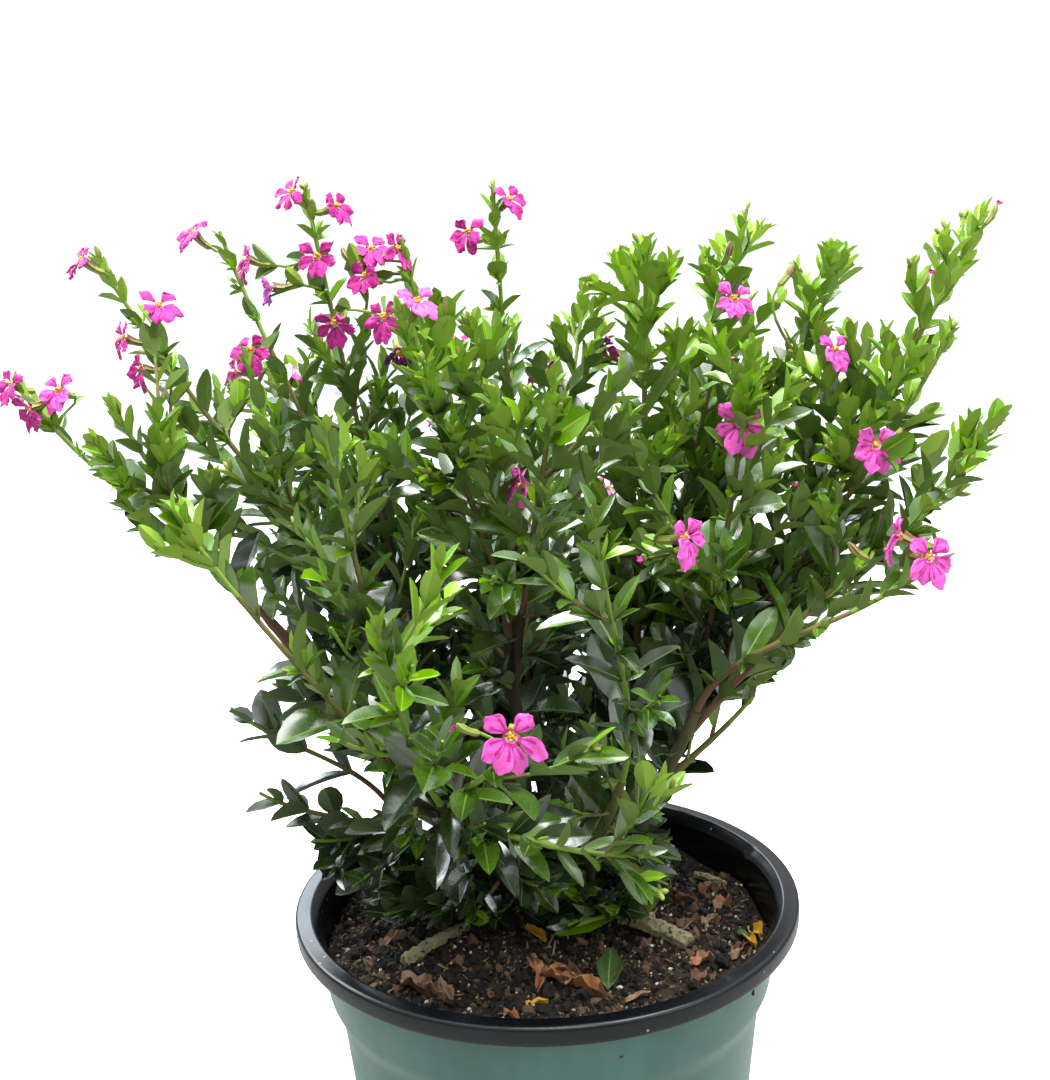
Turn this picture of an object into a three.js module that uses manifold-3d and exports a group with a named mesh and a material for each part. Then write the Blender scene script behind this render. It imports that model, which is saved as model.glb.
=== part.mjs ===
// A potted false heather, Cuphea hyssopifolia: a small flowering shrub of many stems in a round nursery pot.
// Millimetres, +Z up. The origin is the centre of the pot's flat underside, and the front is towards -Y.

import * as THREE from 'three';
import { mergeVertices } from 'three/addons/utils/BufferGeometryUtils.js';
import Module from 'manifold-3d';

const wasm = await Module();
wasm.setup();

// Gap left between solids that touch on the real plant
const clearance = 0.35;

// Edges shorter than this, which joins and cuts leave behind, are closed up
const sliver = 0.01;

// Pot
const potHeight = 140;
const potSides = 36;
const rimRadius = 75;
const rimTopWidth = 4.7;
const rimHeight = 5.6;
const rimRound = 1.4;
const bandRadius = 69; // outside of the wall just under the rim
const ledgeRadius = 66.6; // outside of the wall at the ledge that nested pots rest on
const ledgeDrop = 24; // from the rim's top down to the ledge
const ledgeHeight = 6;
const wallRadius = 63.4; // outside of the wall just under the ledge
const baseRadius = 52;
const baseRound = 2.5;
const wallThickness = 1.4;
const floorThickness = 2;

// Soil
const soilDrop = 13; // from the rim's top down to the soil at the wall
const soilRise = 2; // from there up to the soil at the middle
const soilRings = [20, 38, 50, 60]; // radii of the rings of points across its top
const soilRoughness = 1.4; // height of the lumps outside the clump of stems
const clumpRadius = 38;

// Stems and boughs
const limbSides = 6;
const footFlare = 0.3; // share of its radius that a stem gains at the soil
const flareFade = 4; // height in which the flare fades to about a third
const stemTaper = 0.35; // share of its radius that a stem loses up to its fork
const forkSpread = 0.1; // how far a stem bends outwards at its fork
const lengthPerRing = 26;
const shootRadiusShare = 0.8; // a shoot's radius by its stem's where it leaves
const shootTurn = 0.6; // how far a side shoot first turns from its stem's heading to its own
const shootRise = 0.25; // how far a shoot bends up at its tip
const boughTipRadius = 1.1;

// Leafy shoots. Leaves are larger than life, as the solid has fewer of them.
const twigSides = 3;
const shootRings = 4;
const shootTipRadius = 0.75;
const pairSpacing = 18; // along a shoot, from one pair of leaves to the next
const lastPair = 0.96; // share of a twig's length where its last pair sits
const leafLength = 38; // at the foot of a shoot
const tipLeafLength = 24;
const leafSizeSpread = 0.3; // leaves of one place differ by this share of their length
const leafSizes = [1, 0.75, 0.5]; // shares of its length that a leaf is tried at
const leafWidthShare = 0.4; // width by length
const leafBroadest = 0.45; // share of the length where a leaf is broadest
const leafRootThickness = 0.6;
const leafAngle = 52; // between a leaf and its twig
const leafAngleSpread = 16;
const leafTurnSpread = 0.3; // radians round the twig

// Side sprays
const sprayAngle = 48; // between a spray and its shoot
const sprayAngleSpread = 12;
const sprayReach = 44; // length at the foot of a shoot
const sprayReachTaper = 0.6; // share of the length that is lost towards the shoot's tip
const sprayReachSpread = 0.4;
const sprayShorter = 0.8; // length of each new try by the one before
const shortestSpray = 24;
const sprayTests = [0.4, 0.7, 1]; // shares of its length where a spray needs room
const sprayRise = 0.3; // how far a spray bends up
const sprayRadius = 0.75;
const sprayTipRadius = 0.5;
const sprayPairSpacing = 18;
const sprayLeafShare = 0.8; // size of its leaves by the shoot's

// Room
const leafRoom = 0.8; // from a leaf to the next shoot's space
const limbRoom = 1.3; // from a leaf or spray to a limb
const potRoom = 3; // from a leaf or spray to the rim and the soil
const samplesPerLine = 24;
const crownReach = new THREE.Box3(new THREE.Vector3(-147, -122, 0), new THREE.Vector3(137, 126, 353));

// The crown's outline from the front, in points of a picture that is taken from above and in front of the pot
const viewpoint = new THREE.Vector3(-2.5, -363.8, 323.1);
const viewDip = 11.73; // degrees that the view looks down
const viewRoll = 2.16; // degrees that it leans
const viewMiddle = [525, 540];
const viewReach = 1300; // focal length
const crownOutline = [
  [303, 868], [310, 835], [238, 812], [262, 778], [214, 724], [238, 672], [292, 660], [285, 635], [205, 588],
  [145, 578], [112, 545], [95, 490], [60, 440], [-20, 420], [-20, 350], [55, 370], [100, 405], [90, 345],
  [45, 275], [85, 235], [150, 280], [170, 225], [215, 215], [235, 280], [262, 180], [350, 185], [405, 240],
  [445, 290], [460, 180], [528, 182], [555, 250], [568, 320], [575, 265], [660, 225], [735, 205], [795, 225],
  [865, 245], [890, 290], [930, 235], [1000, 185], [1008, 230], [940, 300], [968, 325], [930, 378], [1018, 392],
  [998, 470], [925, 515], [965, 550], [955, 590], [860, 625], [772, 708], [705, 722], [700, 762], [735, 775],
  [665, 800], [685, 865], [640, 905], [540, 915], [470, 895], [400, 905], [345, 895],
];

// Flowers
const calyxLength = 9;
const calyxRadius = 1.3;
const calyxSides = 3;
const bloomRadius = 8;
const bloomNotch = 3.4; // from the middle to the notch between two petals
const bloomThickness = 1.2;
const petals = 6;
const bloomAngle = 55;
const bloomSpacing = 13; // along a shoot, from its tip down
const bloomTurn = 2.4; // round a shoot, from one flower to the next

const up = new THREE.Vector3(0, 0, 1);

// Each stem rises from its foot on the soil to its fork: [right, back] and [right, back, up]
const stems = [
  { name: 'left', foot: [-26, 4], fork: [-58, 4, 198], radius: 2.3 },
  { name: 'left_front', foot: [-20, 1], fork: [-36, -42, 190], radius: 1.9 },
  { name: 'left_low', foot: [-29, 13], fork: [-47, 12, 163], radius: 1.8 },
  { name: 'front_left', foot: [-11, -3], fork: [-27, -47, 188], radius: 1.9 },
  { name: 'front', foot: [12, -1], fork: [21, -36, 188], radius: 1.8 },
  { name: 'centre', foot: [-4, 2], fork: [-8, -14, 222], radius: 2.4 },
  { name: 'right', foot: [24, 6], fork: [58, 6, 212], radius: 2.7 },
  { name: 'right_front', foot: [22, -2], fork: [43, -22, 202], radius: 2.2 },
  { name: 'back_left', foot: [-15, 17], fork: [-38, 27, 206], radius: 2.4 },
  { name: 'back', foot: [1, 18], fork: [-2, 36, 202], radius: 2.2 },
  { name: 'back_right', foot: [15, 18], fork: [34, 26, 206], radius: 2.4 },
  { name: 'back_low', foot: [5, 29], fork: [16, 56, 164], radius: 1.9 },
];

// Each shoot leaves its stem at a share of the stem's length and ends at its tip. The first share of it is
// bare wood, a bough of its own, or none where leaves start at the stem. Blooms are the flowers near its tip.
const shoots = [
  { name: 'left_reach', stem: 'left', at: 1, tip: [-143, 0, 298], bare: 0, blooms: 3 },
  { name: 'left_mid', stem: 'left', at: 0.68, tip: [-111, -16, 291], bare: 0.35, blooms: 2 },
  { name: 'left_inner', stem: 'left', at: 0.52, tip: [-74, -20, 303], bare: 0.25, blooms: 1 },
  { name: 'left_under', stem: 'left', at: 0.36, tip: [-88, 50, 234], bare: 0, blooms: 0 },
  { name: 'left_low', stem: 'left_low', at: 1, tip: [-94, 14, 196], bare: 0, blooms: 0 },
  { name: 'left_lowest', stem: 'left_low', at: 0.6, tip: [-82, -10, 178], bare: 0, blooms: 0 },
  { name: 'left_front', stem: 'left_front', at: 1, tip: [-82, -72, 272], bare: 0, blooms: 0 },
  { name: 'left_front_inner', stem: 'left_front', at: 0.7, tip: [-50, -52, 288], bare: 0, blooms: 0 },
  { name: 'front_left', stem: 'front_left', at: 1, tip: [-36, -90, 249], bare: 0, blooms: 0 },
  { name: 'front_bloom', stem: 'front_left', at: 0.9, tip: [-6, -96, 224], bare: 0, blooms: 1 },
  { name: 'front_low', stem: 'front_left', at: 0.74, tip: [24, -84, 190], bare: 0, blooms: 0 },
  { name: 'front', stem: 'front', at: 1, tip: [12, -94, 274], bare: 0, blooms: 0 },
  { name: 'centre_left', stem: 'centre', at: 1, tip: [-31, -42, 314], bare: 0, blooms: 3 },
  { name: 'centre', stem: 'centre', at: 0.8, tip: [6, -50, 298], bare: 0.3, blooms: 0 },
  { name: 'right_high', stem: 'right', at: 1, tip: [128, 6, 334], bare: 0, blooms: 1 },
  { name: 'right_mid', stem: 'right', at: 0.8, tip: [114, -12, 303], bare: 0.25, blooms: 1 },
  { name: 'right_inner', stem: 'right', at: 0.58, tip: [58, -28, 300], bare: 0.25, blooms: 1 },
  { name: 'right_front', stem: 'right_front', at: 0.85, tip: [127, -16, 281], bare: 0, blooms: 1 },
  { name: 'right_low', stem: 'right_front', at: 1, tip: [97, -44, 245], bare: 0, blooms: 1 },
  { name: 'right_lowest', stem: 'right_front', at: 0.6, tip: [60, -14, 203], bare: 0, blooms: 0 },
  { name: 'back_left_reach', stem: 'back_left', at: 0.75, tip: [-122, 20, 330], bare: 0.25, blooms: 2 },
  { name: 'back_left_high', stem: 'back_left', at: 1, tip: [-92, 44, 338], bare: 0, blooms: 2 },
  { name: 'back_left_top', stem: 'back_left', at: 0.8, tip: [-62, 24, 348], bare: 0.2, blooms: 2 },
  { name: 'back_left_rear', stem: 'back_left', at: 0.5, tip: [-88, 84, 292], bare: 0.2, blooms: 1 },
  { name: 'top_left', stem: 'back', at: 0.72, tip: [-34, 10, 333], bare: 0, blooms: 3 },
  { name: 'top', stem: 'back', at: 1, tip: [-8, 22, 346], bare: 0, blooms: 2 },
  { name: 'back_reach', stem: 'back', at: 0.6, tip: [-26, 112, 298], bare: 0.2, blooms: 1 },
  { name: 'back_top', stem: 'back', at: 0.86, tip: [20, 72, 316], bare: 0, blooms: 1 },
  { name: 'top_right', stem: 'back_right', at: 0.72, tip: [34, 2, 331], bare: 0, blooms: 0 },
  { name: 'back_right_top', stem: 'back_right', at: 1, tip: [66, 28, 338], bare: 0, blooms: 1 },
  { name: 'back_right_reach', stem: 'back_right', at: 0.62, tip: [98, 40, 326], bare: 0.25, blooms: 1 },
  { name: 'back_right_rear', stem: 'back_right', at: 0.46, tip: [72, 92, 292], bare: 0.2, blooms: 0 },
  { name: 'back_low', stem: 'back_low', at: 1, tip: [34, 112, 240], bare: 0, blooms: 0 },
  { name: 'back_low_right', stem: 'back_low', at: 0.6, tip: [92, 56, 214], bare: 0, blooms: 0 },
  { name: 'back_low_left', stem: 'back_low', at: 0.8, tip: [-40, 96, 208], bare: 0, blooms: 0 },
];

const potPlastic = new THREE.MeshStandardMaterial({ color: 0x5f8f7b, roughness: 0.45, metalness: 0 });
const pottingSoil = new THREE.MeshStandardMaterial({ color: 0x241c16, roughness: 1, metalness: 0 });
const bark = new THREE.MeshStandardMaterial({ color: 0x5a4030, roughness: 0.8, metalness: 0 });
const foliage = new THREE.MeshStandardMaterial({ color: 0x3c7a24, roughness: 0.45, metalness: 0 });

const plant = new THREE.Group();

function addPiece(name, geometry, material) {
  const mesh = new THREE.Mesh(geometry, material);
  mesh.name = name;
  plant.add(mesh);
}

// A small repeatable generator, so that the plant grows the same way every time
function randomStream(seed) {
  let state = seed * 7919 + 17;
  return () => {
    state = (Math.imul(state, 1664525) + 1013904223) >>> 0;
    return state / 4294967296;
  };
}

function solidFrom(geometry) {
  geometry.deleteAttribute('normal');
  geometry.deleteAttribute('uv');
  const merged = mergeVertices(geometry, 1e-4);
  const corners = [];
  for (let i = 0; i < merged.index.count; i += 3) {
    const [a, b, c] = [merged.index.getX(i), merged.index.getX(i + 1), merged.index.getX(i + 2)];
    if (a !== b && b !== c && c !== a) corners.push(a, b, c);
  }
  return new wasm.Manifold(new wasm.Mesh({
    numProp: 3,
    vertProperties: new Float32Array(merged.attributes.position.array),
    triVerts: new Uint32Array(corners),
  }));
}

// The largest closed body of a solid: loose scraps, sealed hollows and slivers are dropped
function geometryFrom(solid) {
  const bodies = solid.simplify(sliver).decompose();
  const body = bodies.reduce((best, tried) => (tried.volume() > best.volume() ? tried : best));
  const mesh = body.getMesh();
  const geometry = new THREE.BufferGeometry();
  geometry.setAttribute('position', new THREE.BufferAttribute(mesh.vertProperties, 3));
  geometry.setIndex(new THREE.BufferAttribute(mesh.triVerts, 1));
  geometry.computeVertexNormals();
  return geometry;
}

function geometryOf(places, faces) {
  const geometry = new THREE.BufferGeometry();
  geometry.setAttribute('position', new THREE.Float32BufferAttribute(places.flatMap((p) => p.toArray()), 3));
  geometry.setIndex(faces.flat());
  return geometry;
}

// Two directions square to a heading: the first as near as it can be to a wanted one
function acrossAndOver(heading, wanted) {
  const across = wanted.clone().addScaledVector(heading, -wanted.dot(heading)).normalize();
  return [across, heading.clone().cross(across)];
}

// A closed round limb along a curve, with its own radius at each share of its length
function taperedLimb(curve, radiusAt, sides, rings) {
  const places = [];
  const faces = [];
  const wanted = curve.getPoint(1).sub(curve.getPoint(0)).cross(up);
  if (wanted.length() < 1) wanted.set(1, 0, 0);
  for (let ring = 0; ring <= rings; ring += 1) {
    const share = ring / rings;
    const middle = curve.getPoint(share);
    const [across, over] = acrossAndOver(curve.getTangent(share), wanted);
    for (let side = 0; side < sides; side += 1) {
      const turn = (2 * Math.PI * side) / sides;
      const radius = radiusAt(share);
      places.push(middle.clone()
        .addScaledVector(across, radius * Math.cos(turn))
        .addScaledVector(over, radius * Math.sin(turn)));
      if (ring < rings) {
        const [a, b] = [ring * sides + side, ring * sides + ((side + 1) % sides)];
        faces.push([a, b, b + sides], [a, b + sides, a + sides]);
      }
    }
  }
  const end = rings * sides;
  for (let side = 1; side < sides - 1; side += 1) {
    faces.push([0, side + 1, side], [end, end + side, end + side + 1]);
  }
  return solidFrom(geometryOf(places, faces));
}

// A leaf is a thin kite that tapers from its thick root, in the twig, to its tip
function leafSolid(root, heading, face, length) {
  const [across] = acrossAndOver(heading, heading.clone().cross(face));
  const over = across.clone().cross(heading);
  const at = (along, side, height) => root.clone()
    .addScaledVector(heading, along * length)
    .addScaledVector(across, side * length)
    .addScaledVector(over, height * length);
  const half = leafWidthShare / 2;
  const thick = leafRootThickness / 2 / length;
  const rootEdge = [at(0, 0, thick), at(0, 0, -thick)];
  const places = [...rootEdge, at(leafBroadest, half, 0), at(leafBroadest, -half, 0), at(1, 0, 0)];
  const faces = [[0, 2, 4], [0, 4, 3], [1, 4, 2], [1, 3, 4], [0, 1, 2], [0, 3, 1]];
  return solidFrom(geometryOf(places, faces));
}

// A flower: a slim three-sided calyx tube with a flat star of petals on its end
function bloomSolid(root, heading) {
  const mouth = root.clone().addScaledVector(heading, calyxLength);
  const neck = mouth.clone().addScaledVector(heading, -bloomThickness);
  const [across, over] = acrossAndOver(heading, new THREE.Vector3(0.3, 0.1, 1));
  const ring = (middle, count, radiusOf) => Array.from({ length: count }, (_, i) => {
    const turn = (2 * Math.PI * i) / count;
    return middle.clone()
      .addScaledVector(across, radiusOf(i) * Math.cos(turn))
      .addScaledVector(over, radiusOf(i) * Math.sin(turn));
  });
  const points = 2 * petals;
  const star = ring(mouth, points, (i) => (i % 2 ? bloomNotch : bloomRadius));
  const foot = ring(root, calyxSides, () => calyxRadius / 2);
  const collar = ring(neck, calyxSides, () => calyxRadius);
  const places = [...foot, ...collar, ...star, mouth.clone().addScaledVector(heading, bloomThickness / 2)];
  const firstStar = 2 * calyxSides;
  const top = places.length - 1;
  const faces = [[0, 2, 1]];
  for (let side = 0; side < calyxSides; side += 1) {
    const next = (side + 1) % calyxSides;
    faces.push([side, next, next + calyxSides], [side, next + calyxSides, side + calyxSides]);
  }
  const share = points / calyxSides;
  const neckFor = (i) => calyxSides + Math.floor(((i + share / 2) % points) / share);
  for (let i = 0; i < points; i += 1) {
    const next = (i + 1) % points;
    faces.push([firstStar + i, firstStar + next, top], [neckFor(i), firstStar + next, firstStar + i]);
    if (neckFor(i) !== neckFor(next)) faces.push([neckFor(i), neckFor(next), firstStar + next]);
  }
  return solidFrom(geometryOf(places, faces));
}

// Pot: one moulding with a flat base, a sloping wall with a ledge, and a rolled rim
function potProfile() {
  const top = potHeight;
  const ledge = top - ledgeDrop;
  const outside = [
    [0, 0], [baseRadius - baseRound, 0], [baseRadius, baseRound], [wallRadius, ledge - ledgeHeight],
    [ledgeRadius, ledge], [bandRadius, top - rimHeight], [rimRadius - rimRound, top - rimHeight],
    [rimRadius, top - rimHeight + rimRound], [rimRadius, top - rimRound], [rimRadius - rimRound, top],
  ];
  const inside = [
    [rimRadius - rimTopWidth, top], [bandRadius - wallThickness, top - rimHeight / 2],
    [ledgeRadius - wallThickness, ledge], [wallRadius - wallThickness, ledge - ledgeHeight],
    [baseRadius - wallThickness, floorThickness], [0, floorThickness],
  ];
  return [...outside, ...inside].map(([r, z]) => new THREE.Vector2(r, z));
}

function latheSolid(profile) {
  const geometry = new THREE.LatheGeometry(profile, potSides);
  geometry.rotateX(Math.PI / 2);
  return solidFrom(geometry);
}

// Soil: it fills the pot, a little higher in the middle, and is lumpy only outside the clump of stems
const soilTop = potHeight - soilDrop;
const bandShare = (ledgeDrop - soilDrop) / (ledgeDrop - rimHeight / 2); // from the ledge up to the band's top
const soilRadius = THREE.MathUtils.lerp(ledgeRadius, bandRadius, bandShare) - wallThickness - clearance;

function soilHeight(x, y) {
  const r = Math.hypot(x, y);
  const lumpy = THREE.MathUtils.smoothstep(r, clumpRadius, soilRings.at(-1)) * soilRoughness;
  const lump = Math.sin(x / 7 + 1) * Math.cos(y / 9) + 0.5 * Math.sin((x - 2 * y) / 11);
  return soilTop + soilRise * (1 - (r / soilRadius) ** 2) + lumpy * lump;
}

function soilSolid() {
  const ledge = potHeight - ledgeDrop;
  const gap = wallThickness + clearance;
  const profile = [
    [0, floorThickness + clearance], [baseRadius - gap, floorThickness + clearance],
    [wallRadius - gap, ledge - ledgeHeight - clearance], [ledgeRadius - gap, ledge - clearance],
    [soilRadius, soilTop], ...soilRings.toReversed().map((r) => [r, soilTop]), [0, soilTop],
  ];
  const geometry = new THREE.LatheGeometry(profile.map(([r, z]) => new THREE.Vector2(r, z)), potSides);
  geometry.rotateX(Math.PI / 2);
  const places = geometry.attributes.position;
  for (let i = 0; i < places.count; i += 1) {
    const [x, y, z] = [places.getX(i), places.getY(i), places.getZ(i)];
    const onTop = z > soilTop - 0.01 && Math.hypot(x, y) < soilRadius - 0.01;
    if (onTop) places.setZ(i, soilHeight(x, y));
  }
  return solidFrom(geometry);
}

// A limb's curve leaves along one heading and arrives along another
function limbCurve(start, leave, end, arrive) {
  const reach = start.distanceTo(end) / 3;
  return new THREE.CubicBezierCurve3(start, start.clone().addScaledVector(leave, reach),
    end.clone().addScaledVector(arrive, -reach), end);
}

// The stretch of a curve between two shares of it, as a curve
class Stretch extends THREE.Curve {
  constructor(whole, from, to) {
    super();
    this.whole = whole;
    this.from = from;
    this.to = to;
  }

  getPoint(share, target = new THREE.Vector3()) {
    return this.whole.getPoint(this.from + share * (this.to - this.from), target);
  }
}

function ringsFor(curve) {
  return Math.max(3, Math.round(curve.getLength() / lengthPerRing));
}

function growStem({ name, foot: [x, y], fork, radius }) {
  const foot = new THREE.Vector3(x, y, soilHeight(x, y) + clearance);
  const end = new THREE.Vector3(...fork);
  const arrive = end.clone().sub(foot).normalize().addScaledVector(up, -forkSpread).normalize();
  const curve = limbCurve(foot, up, end, arrive);
  const height = curve.getLength();
  const radiusAt = (share) => radius * (1 - stemTaper * share)
    * (1 + footFlare * Math.exp((-share * height) / flareFade));
  return { name, curve, radiusAt };
}

const grownStems = new Map(stems.map((stem) => [stem.name, growStem(stem)]));

// A shoot's whole line from its stem to its tip, split into the bare bough and the leafy part
function growShoot(shoot, index) {
  const stem = grownStems.get(shoot.stem);
  const fork = stem.curve.getPoint(shoot.at);
  const along = stem.curve.getTangent(shoot.at);
  const start = shoot.at === 1 ? fork.clone().addScaledVector(along, clearance) : fork;
  const tip = new THREE.Vector3(...shoot.tip);
  const chord = tip.clone().sub(start).normalize();
  const leave = shoot.at === 1 ? along : along.clone().lerp(chord, shootTurn).normalize();
  const arrive = chord.clone().addScaledVector(up, shootRise).normalize();
  const curve = limbCurve(start, leave, tip, arrive);
  const gapShare = clearance / curve.getLength();
  const leafyFrom = shoot.bare ? shoot.bare + gapShare : 0;
  return {
    ...shoot,
    index,
    stem,
    startRadius: shootRadiusShare * stem.radiusAt(shoot.at),
    bough: shoot.bare ? new Stretch(curve, 0, shoot.bare) : null,
    leafy: new Stretch(curve, leafyFrom, 1),
  };
}

const grownShoots = shoots.map(growShoot);

// Limb lines with their radii, and leafy lines, as points that a leaf's place is tested against
function linePoints(curve) {
  return Array.from({ length: samplesPerLine + 1 }, (_, i) => curve.getPoint(i / samplesPerLine));
}

function boughRadius(shoot, share) {
  return shoot.startRadius + (boughTipRadius - shoot.startRadius) * share;
}

const limbPoints = [
  ...[...grownStems.values()].flatMap(({ curve, radiusAt }) => linePoints(curve)
    .map((place, i) => ({ place, radius: radiusAt(i / samplesPerLine) }))),
  ...grownShoots.filter((shoot) => shoot.bough).flatMap((shoot) => linePoints(shoot.bough)
    .map((place, i) => ({ place, radius: boughRadius(shoot, i / samplesPerLine) }))),
];
const leafyLines = grownShoots.map((shoot) => linePoints(shoot.leafy));

function distanceTo(line, place) {
  return Math.min(...line.map((point) => point.distanceTo(place)));
}

// Whether a place lies inside the crown's outline as it is seen from the viewpoint
function inOutline(place) {
  const seen = place.clone().sub(viewpoint)
    .applyAxisAngle(new THREE.Vector3(1, 0, 0), THREE.MathUtils.degToRad(viewDip))
    .applyAxisAngle(new THREE.Vector3(0, 1, 0), -THREE.MathUtils.degToRad(viewRoll));
  const right = viewMiddle[0] + (viewReach * seen.x) / seen.y;
  const down = viewMiddle[1] - (viewReach * seen.z) / seen.y;
  let inside = false;
  crownOutline.forEach(([right1, down1], i) => {
    const [right2, down2] = crownOutline.at(i - 1);
    const crosses = (down1 > down) !== (down2 > down);
    if (crosses && right > right1 + ((down - down1) * (right2 - right1)) / (down2 - down1)) inside = !inside;
  });
  return inside;
}

// A place is in a shoot's own space where no other shoot is nearer, where pot, soil and limbs are clear, and
// within the crown's reach and outline
function hasRoom(place, shoot) {
  const r = Math.hypot(place.x, place.y);
  const floor = r > soilRings.at(-1) ? potHeight : soilTop + soilRise;
  if (r < rimRadius + potRoom && place.z < floor + potRoom) return false;
  if (!crownReach.containsPoint(place) || !inOutline(place)) return false;
  if (limbPoints.some((limb) => limb.place.distanceTo(place) < limb.radius + limbRoom)) return false;
  const own = distanceTo(leafyLines[shoot.index], place) + 2 * leafRoom;
  return leafyLines.every((line, i) => i === shoot.index || distanceTo(line, place) > own);
}

// The heading that leaves a twig at an angle, on the side that a turn round the twig gives
function sideHeading(along, wanted, turn, angle) {
  const [across, over] = acrossAndOver(along, wanted);
  const side = across.multiplyScalar(Math.cos(turn)).addScaledVector(over, Math.sin(turn));
  return along.clone().multiplyScalar(Math.cos(angle)).addScaledVector(side, Math.sin(angle));
}

// A place on the straight runs between a twig's rings, so that a root there lies in the wood
function onTwig(curve, rings, share) {
  const ring = Math.min(Math.floor(share * rings), rings - 1);
  return curve.getPoint(ring / rings).lerp(curve.getPoint((ring + 1) / rings), share * rings - ring);
}

function leafHasRoom(shoot, place, heading, along, length) {
  const [across] = acrossAndOver(heading, heading.clone().cross(along));
  const middle = place.clone().addScaledVector(heading, leafBroadest * length);
  const half = (length * leafWidthShare) / 2;
  const edges = [
    place.clone().addScaledVector(heading, length),
    middle.clone().addScaledVector(across, half),
    middle.addScaledVector(across, -half),
  ];
  return edges.every((edge) => hasRoom(edge, shoot));
}

// A leaf at one side of a twig. Where it has no room it is smaller, or it is skipped.
function addLeaf(parts, shoot, place, along, wanted, turn, length, random) {
  const size = length * (1 + leafSizeSpread * (random() - 0.5));
  const angle = THREE.MathUtils.degToRad(leafAngle + leafAngleSpread * (random() - 0.5));
  const heading = sideHeading(along, wanted, turn + leafTurnSpread * (random() - 0.5), angle);
  const fitting = leafSizes.map((share) => share * size)
    .find((tried) => leafHasRoom(shoot, place, heading, along, tried));
  if (fitting) parts.push(leafSolid(place, heading, along, fitting));
}

// A side spray: a twig that leaves the shoot and bends up, with its own crossed pairs of leaves. It is as
// long as its room allows, and it is left out where that is too short.
function addSpray(parts, shoot, place, heading, reach, random) {
  for (let length = reach; length > shortestSpray; length *= sprayShorter) {
    const bend = place.clone().addScaledVector(heading, length / 2);
    const rising = heading.clone().addScaledVector(up, sprayRise).normalize();
    const tip = place.clone().addScaledVector(rising, length);
    const curve = new THREE.QuadraticBezierCurve3(place, bend, tip);
    if (!sprayTests.every((share) => hasRoom(curve.getPoint(share), shoot))) continue;
    const radiusAt = (share) => sprayRadius + (sprayTipRadius - sprayRadius) * share;
    parts.push(taperedLimb(curve, radiusAt, twigSides, 1));
    const wanted = heading.clone().cross(up);
    const pairs = Math.max(1, Math.round(length / sprayPairSpacing));
    for (let pair = 1; pair <= pairs; pair += 1) {
      const share = Math.min(pair / pairs, lastPair);
      const size = sprayLeafShare * THREE.MathUtils.lerp(leafLength, tipLeafLength, share);
      for (const side of [0, Math.PI]) {
        addLeaf(parts, shoot, onTwig(curve, 1, share), curve.getTangent(share), wanted,
          side + pair * (Math.PI / 2), size, random);
      }
    }
    return true;
  }
  return false;
}

// A leafy shoot: a twig with crossed pairs of leaves, sprays in place of every second pair where there is
// room, and flowers near its tip
function foliageSolid(shoot) {
  const random = randomStream(shoot.index + 1);
  const curve = shoot.leafy;
  const length = curve.getLength();
  const baseRadius = shoot.bough ? boughTipRadius : shoot.startRadius;
  const radiusAt = (share) => baseRadius + (shootTipRadius - baseRadius) * share;
  const parts = [taperedLimb(curve, radiusAt, twigSides, shootRings)];
  const wanted = curve.getPoint(1).sub(curve.getPoint(0)).cross(up);
  const pairs = Math.max(3, Math.round(length / pairSpacing));
  const turnStart = 2 * Math.PI * random();
  const placeAt = (share) => [onTwig(curve, shootRings, share), curve.getTangent(share)];
  const leafyShare = 1 - (bloomSpacing * shoot.blooms) / length;
  for (let pair = 1; pair <= pairs; pair += 1) {
    const share = Math.min(pair / pairs, lastPair);
    if (share > leafyShare) break;
    const [place, along] = placeAt(share);
    const size = THREE.MathUtils.lerp(leafLength, tipLeafLength, share);
    for (const side of [0, Math.PI]) {
      const turn = turnStart + pair * (Math.PI / 2) + side;
      const reach = sprayReach * (1 - sprayReachTaper * share) * (1 + sprayReachSpread * (random() - 0.5));
      const angle = THREE.MathUtils.degToRad(sprayAngle + sprayAngleSpread * (random() - 0.5));
      const heading = sideHeading(along, wanted, turn, angle);
      const grown = pair % 2 === 1 && addSpray(parts, shoot, place, heading, reach, random);
      if (!grown) addLeaf(parts, shoot, place, along, wanted, turn, size, random);
    }
  }
  for (let bloom = 0; bloom < shoot.blooms; bloom += 1) {
    const [place, along] = placeAt(lastPair - (bloomSpacing * bloom) / length);
    const turn = turnStart + bloomTurn * (bloom + 1);
    const heading = sideHeading(along, wanted, turn, THREE.MathUtils.degToRad(bloomAngle));
    const mouth = place.clone().addScaledVector(heading, calyxLength + bloomNotch);
    if (hasRoom(mouth, shoot)) parts.push(bloomSolid(place, heading));
  }
  return parts.reduce((whole, part) => whole.add(part));
}

// The space round a stem that what grows from its side is cut back to
function roomFor(stem) {
  const wider = (share) => stem.radiusAt(share) + clearance;
  return taperedLimb(stem.curve, wider, limbSides, ringsFor(stem.curve));
}

addPiece('pot', geometryFrom(latheSolid(potProfile())), potPlastic);
addPiece('soil', geometryFrom(soilSolid()), pottingSoil);

for (const [name, stem] of grownStems) {
  const solid = taperedLimb(stem.curve, stem.radiusAt, limbSides, ringsFor(stem.curve));
  addPiece(`stem_${name}`, geometryFrom(solid), bark);
}

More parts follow.
